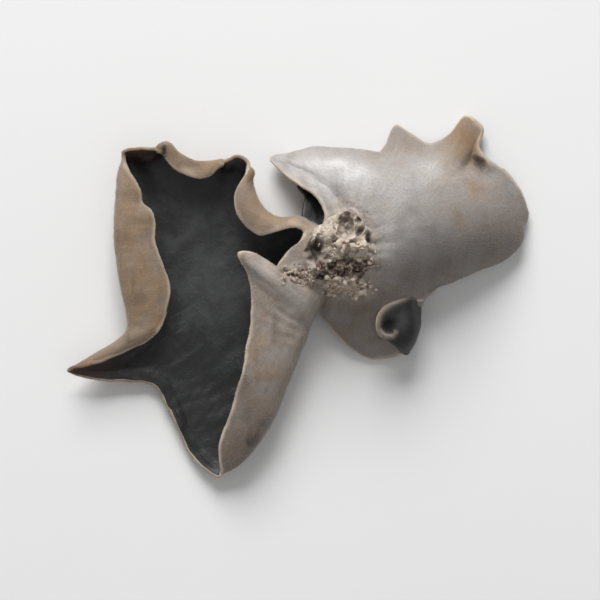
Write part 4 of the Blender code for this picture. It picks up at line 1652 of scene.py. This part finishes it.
LEFT_EAR = Ear(
    name="left_ear",
    up=Up.FACE,
    pole=(-26.0, -9.0, 0.9),
    ribs=LEFT_RIBS,
    reach=0.5,
    spread=(0.045, 0.012),
    columns=460,
    inner_rows=62,
    outer_rows=38,
    seed=11,
    bloom=(
        Blot(-27.0, 2.0, 9.0, 0.42, 1.6, 75.0),
        Blot(-22.0, -12.0, 8.0, 0.25),
        Blot(-19.6, -12.5, 4.5, 0.26, 1.8, 80.0),
        Blot(-30.0, 14.0, 9.0, 0.18),
    ),
    # painted shade on the lower dark face and in the upper left corner, where bloom is held back
    painted_shade=(Blot(-25.0, -32.0, 10.0, 0.90, 1.4, 75.0), Blot(-42.0, 21.0, 6.0, 0.5)),
    thin=(
        Blot(-54.5, -24.6, 3.2, 0.95, 2.6, 8.0),
        Blot(-41.0, 22.6, 1.6, 0.75, 4.0, 0.0),
        Blot(-21.0, 21.5, 1.4, 0.4, 2.0, 0.0),
        Blot(-14.0, 12.0, 4.0, 0.22, 1.8, -50.0),
    ),
    warm=(
        Blot(-42.0, -4.0, 9.0, 0.55, 2.6, 90.0),
        Blot(-31.0, 20.5, 5.0, 0.80, 2.0, 0.0),
        Blot(-14.0, 12.0, 7.0, 0.75, 1.4, -50.0),
        Blot(-11.0, -22.0, 9.0, -0.58, 2.4, 70.0),
    ),
    warmth=0.42,
    # pale hairs, and painted light on the wedge's flank that faces away from the key light
    silver=(
        Blot(-13.5, -5.0, 4.6, 0.30, 1.7, 66.0),
        Blot(-7.4, -14.0, 4.2, 0.34, 2.2, 66.0),
        Blot(-15.8, 9.5, 3.0, 0.10, 1.6, -50.0),
    ),
    # painted shade in the folds and hollows
    crease=(
        Blot(-20.0, -42.0, 6.0, 0.45, 1.6, 70.0),
        Blot(-15.5, -33.0, 7.0, 0.38, 1.8, 70.0),
        Blot(-42.0, -4.0, 5.0, 0.14, 4.0, 90.0),
        Blot(-32.6, 21.8, 2.4, 0.50, 1.8, -38.0),
        Blot(-28.6, 20.0, 1.1, 0.60, 1.9, 8.0),
        Blot(-6.8, 0.6, 2.6, 0.34, 1.7, 62.0),
    ),
    rimless=(
        Blot(-41.5, 22.5, 2.4, 1.0, 3.0, 0.0),
        Blot(-19.8, 21.5, 2.2, 1.0, 1.6, 0.0),
        Blot(-45.0, -27.0, 4.0, 0.75, 3.5, 0.0),
        Blot(-54.6, -24.6, 3.0, 0.90, 1.6, 8.0),
        Blot(-33.0, -37.0, 5.0, 0.75, 2.4, -60.0),
        Blot(-41.0, 14.0, 3.0, 0.7, 2.6, -75.0),
        Blot(-35.5, -2.0, 3.0, 0.55, 4.0, 80.0),
    ),
    rippled=(
        Blot(-25.0, -29.0, 11.0, 1.0, 1.3, 60.0),
        Blot(-21.0, -4.0, 6.0, 0.9, 1.3, 20.0),
        Blot(-36.0, -20.0, 7.0, 0.6, 1.5, 0.0),
    ),
    hair_lines=0.55,
    blotchy=0.24,
    soiled=0.42,
    relief=Relief(sway=0.50, flutter=0.45, pleats=0.14, ripples=0.24),
    rimmed=(
        Blot(-15.5, 8.5, 4.0, 0.9, 2.0, -55.0),
        Blot(-29.5, 18.5, 3.0, 0.7, 2.2, 0.0),
        Blot(-20.0, -1.5, 2.5, 0.6),
        Blot(-8.0, 6.6, 3.0, 1.0, 1.4, -15.0),
        Blot(-4.6, 4.6, 2.0, 0.9),
    ),
    # a notch with painted shade inside
    dents=(Dent(-35.5, 22.6, 0.62, 0.9, 2.6, 84.0, 0.15, 1.0, 4.5),),
)

RIGHT_EAR = Ear(
    name="right_ear",
    up=Up.BACK,
    pole=(16.5, 10.5, 19.6),
    ribs=RIGHT_RIBS,
    reach=0.62,
    spread=(0.12, 0.06),
    columns=460,
    inner_rows=74,
    outer_rows=26,
    seed=41,
    calm=0.10,
    thin=(Blot(31.0, 27.5, 3.6, 0.42, 1.5, 60.0),),
    warm=(
        Blot(31.0, 25.0, 6.0, 0.9),
        Blot(32.4, 14.2, 2.2, 0.6),
        Blot(8.0, -12.0, 7.0, 0.15),
        Blot(15.6, 26.0, 4.0, 0.25),
    ),
    warmth=0.12,
    # painted highlight along the top of the dome, and pale hairs
    silver=(
        Blot(-2.0, 17.5, 4.6, 0.80, 2.2, -16.0),
        Blot(23.4, 18.8, 2.8, 0.44, 1.9, 2.0),
        Blot(6.0, 17.5, 5.0, 0.20, 2.0, -8.0),
        Blot(18.8, 6.0, 5.4, 0.38, 1.4, 0.0),
        Blot(16.0, 13.0, 8.0, 0.12, 1.6, 0.0),
        Blot(13.6, 3.6, 3.8, 0.36, 1.9, 84.0),
        Blot(2.6, 18.9, 2.1, 0.75, 2.9, -8.0),
    ),
    relief=Relief(pucker=0.66),
    blotchy=0.12,
    # painted highlight: a satin reflection on the dark side of the curl
    bloom=(Blot(16.6, -14.4, 1.3, 0.75, 2.2, 82.0),),
    rimmed=(
        Blot(12.2, -14.4, 4.4, 1.0, 1.2, 80.0),
        Blot(15.5, -9.4, 3.0, 1.0, 1.6, 20.0),
        Blot(0.0, 9.0, 4.0, 0.5),
    ),
    lipped=(
        Blot(12.2, -16.9, 0.55, 0.9, 1.5, -50.0),
        Blot(13.2, -17.6, 0.50, 0.9, 1.5, -15.0),
        Blot(14.4, -17.6, 0.45, 0.9, 1.3, 25.0),
        Blot(15.1, -16.8, 0.38, 0.8, 1.4, 80.0),
    ),
    zoned=(Blot(6.5, -13.5, 6.5, 1.0), Blot(25.0, -3.0, 7.0, 0.5, 1.6, 10.0)),
    # the curl's hole and the notch on the right rim hold painted shade
    dents=(
        Dent(13.4, -15.4, 1.25, 1.0, 1.2, 60.0, 0.0, 1.0, CURL_LEVEL),
        Dent(12.2, -16.9, 0.60, -0.4, 1.5, -50.0, 0.0, 0.0, CURL_LEVEL),
        Dent(13.2, -17.6, 0.55, -0.5, 1.5, -15.0, 0.0, 0.0, CURL_LEVEL),
        Dent(14.4, -17.6, 0.50, -0.6, 1.3, 25.0, 0.0, 0.0, CURL_LEVEL),
        Dent(15.1, -16.8, 0.42, -0.5, 1.4, 80.0, 0.0, 0.0, CURL_LEVEL),
        Dent(33.9, 20.4, 1.1, 0.6, 1.5, -50.0, 0.15, 0.35, 1.0),
    ),
    # painted shade in the folds, at the notch and on the dome's lower side
    crease=(
        Blot(8.0, -13.0, 8.0, 0.40, 1.3, 60.0),
        Blot(38.0, 6.0, 8.0, 0.50, 1.6, 30.0),
        Blot(31.0, 26.0, 4.0, 0.12),
        Blot(33.9, 20.2, 1.4, 0.75, 1.6, -50.0),
        Blot(22.0, -4.0, 5.0, 0.35, 1.6, 10.0),
    ),
)

LOWER_LIP = Ear(
    name="lower_lip",
    up=Up.FACE,
    pole=(1.2, 10.4, 6.0),
    ribs=LIP_RIBS,
    reach=0.5,
    spread=(0.05, 0.02),
    columns=160,
    inner_rows=24,
    outer_rows=14,
    seed=71,
    relief=Relief(sway=0.15, flutter=0.2, pucker=0.2),
    rim_finish=Up.FACE,
)


@dataclass(frozen=True)
class Hairs:
    """The nap of the hairy side: short three-sided hairs that taper and lie away from the foot."""

    seed: int
    count: int = 49000
    shortest: float = 0.20
    longest: float = 0.46
    thickness: float = 0.046
    rise: float = 30.0  # degrees that they stand off the flesh
    unruly: float = 13.0  # how far that varies, in degrees
    stray: float = 0.28  # how far they turn from the way they lie
    below: float = 0.25  # how many grow where the flesh faces down, next to 1 elsewhere
    # the hairs take painted highlight and painted shade from the flesh, with its other colours
    carried: tuple[str, ...] = ("warmth", "silver", "thin", "crease", "rim")

    def roots(self, mesh: bpy.types.Mesh, random: np.random.Generator) -> tuple[np.ndarray, ...]:
        """Picks where the hairs grow: faces by area on the hairy side, then a place on each.

        Args:
            mesh: an ear's mesh, its four-sided faces first; a three-sided one counts its last corner twice.
            random: the source of chance.

        Returns:
            The places (count, 3) in metres, the unit normals there, and a vertex number of each face.
        """
        corners = fetched(mesh.loops, "vertex_index")
        finishes = fetched(mesh.polygons, "material_index")
        totals = fetched(mesh.polygons, "loop_total")
        places = fetched(mesh.vertices, "co", 3, np.float64)
        four_sided = 4 * np.count_nonzero(totals == 4)
        threes = corners[four_sided:].reshape(-1, 3)[:, [0, 1, 2, 2]]
        quads = np.concatenate([corners[:four_sided].reshape(-1, 4), threes])
        around = places[quads]
        facing = np.cross(around[:, 2] - around[:, 0], around[:, 3] - around[:, 1])
        area = np.linalg.norm(facing, axis=1)
        bare = self.read(mesh, "husk")[quads[:, 0]]
        weight = area * (finishes == 1) * (1.0 - bare) ** 2
        weight = weight * np.where(facing[:, 2] < 0.0, self.below, 1.0)
        chosen = random.choice(len(quads), self.count, p=weight / weight.sum())
        u, v = random.random((2, self.count, 1))
        a, b, c, d = (around[chosen, k] for k in range(4))
        place = (1 - u) * (1 - v) * a + u * (1 - v) * b + u * v * c + (1 - u) * v * d
        return place, unit(facing[chosen]), quads[chosen, 0]

    def read(self, mesh: bpy.types.Mesh, name: str) -> np.ndarray:
        """A mesh's attribute of one number a vertex."""
        return fetched(mesh.attributes[name].data, "value", kind=np.float32)

    def build(self, name: str, ear: bpy.types.Object, finish: bpy.types.Material) -> bpy.types.Object:
        """Grows the hairs: root + length * (lie * cos(rise) + normal * sin(rise)) is the tip.

        Args:
            name: the piece's name.
            ear: the ear that they grow on.
            finish: the hairs' material.

        Returns:
            The piece.
        """
        random = np.random.default_rng(self.seed)
        root, normal, vertex = self.roots(ear.data, random)
        away = unit(root - placed(np.array(FOOT_CENTRE))) + self.stray * random.normal(size=root.shape)
        lie = unit(away - np.sum(away * normal, axis=1, keepdims=True) * normal)
        rise = np.radians(self.rise + self.unruly * random.normal(size=(self.count, 1)))
        way = lie * np.cos(rise) + normal * np.sin(rise)
        length = self.shortest + (self.longest - self.shortest) * random.random((self.count, 1))
        side = unit(np.cross(way, normal))
        other = np.cross(way, side)
        turns = np.radians([0.0, 120.0, 240.0])
        base = [root + self.thickness / 2 * MM * (side * np.cos(a) + other * np.sin(a)) for a in turns]
        points = np.stack([*base, root + way * length * MM], axis=1)
        points[..., 2] = np.maximum(points[..., 2], 0.0)
        corners = np.array([(0, 1, 3), (1, 2, 3), (2, 0, 3), (0, 2, 1)])
        faces = (corners + 4 * np.arange(self.count)[:, None, None]).reshape(-1, 3)
        values = {key: np.repeat(self.read(ear.data, key)[vertex], 4) for key in self.carried}
        values["tip"] = np.tile([0.0, 0.0, 0.0, 1.0], self.count)
        return add_mesh(name, points.reshape(-1, 3), faces.tolist(), values, [finish])


# The foot and the crumbs on it


@dataclass(frozen=True)
class Foot:
    """The corky scar: a ball stretched to its radii, lumpy, and pressed by the scar's relief."""

    radii: Point = (7.0, 7.8, 4.8)
    columns: int = 260
    rows: int = 150
    lumps: float = 1.0  # height of the slow lumps
    lump_count: float = 2.3  # how many there are over a radius
    crumble: float = 0.22  # height of the crumbling grain
    crumble_pitch: float = 0.7
    dome_way: Point = (0.8, 0.6, 0.0)  # where the dome is from the foot
    spread: Point = (0.16, 0.12, 0.0)  # how much wider it is on the dome's side
    spread_over: float = 6.0  # over how many millimetres it widens
    climb: float = 0.26  # how steeply it follows the dome's flank
    brown: tuple[Blot, ...] = (Blot(4.7, -2.8, 2.0, 1.0, 2.4, 2.0), Blot(-2.0, -3.8, 2.0, 0.5, 2.0, 0.0))
    # pale cream patches, partly painted light where the crust slopes away from the key light
    pale: tuple[Blot, ...] = (
        Blot(5.2, 2.5, 2.7, 1.0, 1.5, -6.0),
        Blot(1.0, 6.4, 2.6, 0.35),
        Blot(5.0, -7.0, 2.0, 0.7, 2.6, -4.0),
    )
    brownness: float = 0.24  # how brown it is elsewhere
    paler: float = 0.55  # how much less so in the pale patches

    def shape(self) -> np.ndarray:
        """Stretched ball + slow lumps + crumbling grain, drawn out to the dome; the poles last.

        Returns:
            The points, (vertices, 3).
        """
        around = np.linspace(0.0, 2 * np.pi, self.columns, endpoint=False)
        down = np.linspace(0.0, np.pi, self.rows + 2)[1:-1]
        turn, tilt = np.meshgrid(around, down, indexing="ij")
        way = np.stack([np.cos(turn) * np.sin(tilt), np.sin(turn) * np.sin(tilt), np.cos(tilt)], axis=-1)
        ways = np.concatenate([way.reshape(-1, 3), UP_AND_DOWN])
        radii = np.array(self.radii)
        height = self.lumps * layered(ways * self.lump_count, 3, 2, 0.6)
        height = height + self.crumble * layered(ways * radii / self.crumble_pitch, 3, 9, 0.6)
        points = ways * (radii + height[:, None])
        toward = np.maximum(points @ np.array(self.dome_way), 0.0)[:, None]
        points = points * (1.0 + np.array(self.spread) * smooth_step(0.0, self.spread_over, toward))
        return points + toward * np.array([0.0, 0.0, self.climb]) + np.array(FOOT_CENTRE)

    def build(self, finish: bpy.types.Material) -> bpy.types.Object:
        """Makes the foot from its shape, brown and pale in patches and knob by knob; the pale patches are
        partly painted light, and the pits and cracks hold painted shade.

        Args:
            finish: the corky material.

        Returns:
            The piece.
        """
        points = self.shape()
        pit_shades, _, own = SCAR.crust(points)
        brown = self.brownness + blotted(points, self.brown) - self.paler * blotted(points, self.pale)
        varied = 0.5 * (own - 0.5) + 0.22 * noise(points / 1.1, 8)
        # painted shade in the pits and cracks
        values = {"brown": held(brown + varied), "pit": pit_shades}
        grid = points[:-2].reshape(self.columns, self.rows, 3)
        skin = Skin(grid, points[-2:], {}, np.zeros(self.rows, int))
        faces, _ = skin.faces()
        return add_mesh("foot", skin.vertices(), faces, values, [finish])


@dataclass(frozen=True)
class Patch:
    """A place where granules lie, seen from above: how many, how large, how brown, how deep."""

    x: float
    y: float
    wide: float
    high: float
    turn: float
    count: int
    small: float
    large: float
    brown: float
    sunk: float = -0.2  # how far their middles lie below the ground, over their radius


@dataclass(frozen=True)
class GrowingMedium:
    """Crumbs of the growing block caught on the foot: angular granules heaped in patches.

    A granule is a ball whose radius is cut short by nine planes, min(keep / (way . cut), 1), then
    roughened and drawn out.
    """

    seed: int = 5
    roughness: float = 0.34  # how uneven a granule is, over its radius
    planes: int = 9  # how many cut it
    nearest: float = 0.42  # how close to its middle they come, over its radius
    further: float = 0.45  # and how much further off they can be
    drawn: float = 0.32  # how far it is drawn out or flattened
    rarity: float = 2.2  # power that makes the large ones rare
    strewn: float = 0.55  # how far they lie from a patch's middle, over its size
    varied: float = 0.5  # how far their brown varies
    patches: tuple[Patch, ...] = (
        Patch(5.7, 1.8, 3.3, 0.8, -8.0, 36, 0.26, 0.74, 0.0),
        Patch(4.9, -2.7, 3.9, 1.1, 2.0, 80, 0.16, 0.58, 0.80),
        Patch(8.8, -1.4, 1.0, 1.9, 80.0, 26, 0.2, 0.60, 0.40),
        Patch(2.0, 0.9, 2.0, 0.9, 0.0, 22, 0.16, 0.50, 0.08),
        Patch(-5.8, -4.3, 3.4, 0.9, -16.0, 52, 0.26, 0.84, 0.44),
        Patch(-4.6, -3.0, 2.6, 1.1, -30.0, 44, 0.16, 0.50, 0.66),
        Patch(-1.8, -4.0, 2.0, 1.4, 0.0, 34, 0.18, 0.62, 0.52),
        Patch(4.9, -6.9, 4.0, 1.6, -4.0, 190, 0.28, 0.80, 0.08, 0.15),
        Patch(1.2, -6.9, 1.7, 1.6, 0.0, 90, 0.28, 0.84, 0.0, 0.05),
        Patch(5.0, -6.2, 4.2, 1.2, -4.0, 40, 0.14, 0.40, 0.10),
        Patch(-6.4, -5.4, 3.4, 0.8, -12.0, 46, 0.24, 0.70, 0.54, 0.30),
        Patch(3.2, 0.0, 7.0, 6.6, 0.0, 40, 0.08, 0.20, 0.45),
    )

    def ball(self) -> tuple[np.ndarray, np.ndarray]:
        """A ball of eighty triangles: an icosahedron with every face divided in four.

        Returns:
            Its points, (42, 3), and its faces, (80, 3).
        """
        golden = (1 + 5**0.5) / 2
        corners = []
        for a in (-1.0, 1.0):
            for b in (-golden, golden):
                corners += [(a, b, 0.0), (0.0, a, b), (b, 0.0, a)]
        points = list(unit(np.array(corners)))
        triples = [
            triple
            for triple in combinations(range(len(points)), 3)
            if all(np.linalg.norm(points[a] - points[b]) < 1.1 for a, b in combinations(triple, 2))
        ]
        middles: dict[tuple[int, int], int] = {}
        faces = []
        for i, j, k in triples:
            if np.dot(np.cross(points[j] - points[i], points[k] - points[i]), points[i]) < 0:
                j, k = k, j
            halves = []
            for a, b in ((i, j), (j, k), (k, i)):
                key = (min(a, b), max(a, b))
                if key not in middles:
                    middles[key] = len(points)
                    points.append(unit(points[a] + points[b]))
                halves.append(middles[key])
            first, second, third = halves
            faces += [(i, first, third), (first, j, second), (third, second, k), (first, second, third)]
        return np.array(points), np.array(faces)

    def granule(self, ball: np.ndarray, random: np.random.Generator) -> np.ndarray:
        """A ball cut by planes, roughened and drawn out, at radius one.

        Args:
            ball: the ball's points.
            random: the source of chance.

        Returns:
            The granule's points.
        """
        shift = random.random(3) * 50.0
        cuts = unit(random.normal(size=(self.planes, 3)))
        keep = self.nearest + self.further * random.random(self.planes)
        stretch = np.exp(self.drawn * random.normal(size=3))
        reach = np.min(keep / np.maximum(ball @ cuts.T, 1e-3), axis=1)
        reach = np.minimum(reach, 1.0) * (1.0 + self.roughness * noise(ball * 1.7 + shift, 1))
        return ball * reach[:, None] * stretch

    def build(self, ground: BVHTree, finish: bpy.types.Material) -> bpy.types.Object:
        """Heaps the granules on what is under them.

        Args:
            ground: the flesh and the foot, in metres.
            finish: the crumbs' material.

        Returns:
            The piece.
        """
        random = np.random.default_rng(self.seed)
        ball, ball_faces = self.ball()
        points, faces, brown = [], [], []
        for patch in self.patches:
            angle = np.radians(patch.turn)
            way = np.array([[np.cos(angle), np.sin(angle)], [-np.sin(angle), np.cos(angle)]])
            for _ in range(patch.count):
                radius = patch.small + (patch.large - patch.small) * random.random() ** self.rarity
                spot = random.normal(0.0, self.strewn, 2) * (patch.wide, patch.high)
                spot = spot @ way + (patch.x, patch.y)
                granule = self.granule(ball, random)
                shade = patch.brown + self.varied * (random.random() - 0.5)
                x, y, _ = placed(np.array([*spot, 0.0]))
                hit, _, _, _ = ground.ray_cast(Vector((x, y, 0.1)), Vector((0.0, 0.0, -1.0)))
                if hit is None:
                    continue
                faces.append(ball_faces + len(ball) * len(points))
                points.append(granule * radius * MM + np.array([x, y, hit.z - radius * patch.sunk * MM]))
                brown.append(np.full(len(ball), shade))
        values = {"brown": held(np.concatenate(brown))}
        every_face = np.concatenate(faces).tolist()
        return add_mesh("block_crumbs", np.concatenate(points), every_face, values, [finish])


# The studio


@dataclass(frozen=True)
class Lamp:
    """A soft square light that looks at the fungus."""

    name: str
    place: Point
    size: float
    watts: float


@dataclass(frozen=True)
class Studio:
    """A pale floor, soft light mostly from the side of the two tips, and a camera straight above."""

    lens: float = 180.0
    place: Point = (0.0, -0.001, 0.665)  # where the camera is
    floor_size: float = 3.0
    sky: float = 0.30
    lamps: tuple[Lamp, ...] = (
        Lamp("key_light", (-0.15, 1.14, 0.78), 0.75, 22.5),
        Lamp("fill_light", (0.30, -0.35, 0.95), 0.9, 0.8),
    )

    def build(self) -> None:
        """Adds the floor, the sky, the lamps and the camera."""
        half = self.floor_size / 2
        corners = np.array([[-half, -half, 0.0], [half, -half, 0.0], [half, half, 0.0], [-half, half, 0.0]])
        floor = add_mesh("floor", corners, [(0, 1, 2, 3)], {}, [PaleFloor().material()])
        scene = bpy.context.scene
        world = bpy.data.worlds.new("studio_sky")
        world.use_nodes = True
        sky = world.node_tree.nodes["Background"]
        feed(world.node_tree, sky, {"Color": (1.0, 1.0, 1.0, 1.0), "Strength": self.sky})
        scene.world = world
        for lamp in self.lamps:
            light = bpy.data.lights.new(lamp.name, "AREA")
            light.size = lamp.size
            light.energy = lamp.watts
            holder = add_object(lamp.name, light, lamp.place)
            holder.rotation_euler = (-Vector(lamp.place)).to_track_quat("-Z", "Y").to_euler()
        camera = bpy.data.cameras.new("camera")
        camera.lens = self.lens
        camera.clip_end = 10.0
        scene.camera = add_object("camera", camera, self.place)
        scene.view_settings.view_transform = "Standard"


def ground_of(pieces: list[bpy.types.Object]) -> BVHTree:
    """One search tree over the pieces' faces.

    Args:
        pieces: mesh objects at the origin.

    Returns:
        The tree, in metres.
    """
    points: list = []
    faces: list = []
    for piece in pieces:
        start = len(points)
        points += [vertex.co.copy() for vertex in piece.data.vertices]
        faces += [tuple(start + index for index in polygon.vertices) for polygon in piece.data.polygons]
    return BVHTree.FromPolygons(points, faces)


def main() -> None:
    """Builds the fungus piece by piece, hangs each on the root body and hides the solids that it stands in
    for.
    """
    logging.basicConfig(level=logging.INFO, format="%(name)s: %(message)s")
    Effects.nap()
    Effects.mottle()
    Studio().build()

    velvet = VelvetBack()
    sides = [DarkFace().material(), velvet.material()]
    flesh = [ear.build(sides) for ear in (LEFT_EAR, RIGHT_EAR, LOWER_LIP)]
    flesh.append(Foot().build(CorkyFoot().material()))
    crumbs = GrowingMedium().build(ground_of(flesh), BlockCrumb().material())
    hair = velvet.hair()
    flesh.append(Hairs(seed=3).build("left_nap", flesh[0], hair))
    flesh.append(Hairs(seed=4).build("right_nap", flesh[1], hair))
    for piece in flesh:
        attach(piece, "root")
        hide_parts("wood_ear")
    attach(crumbs, "root")
    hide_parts("growing_medium")
    for piece in (*flesh, crumbs):
        LOG.info("%s: %d faces", piece.name, len(piece.data.polygons))


if __name__ == "__main__":
    main()
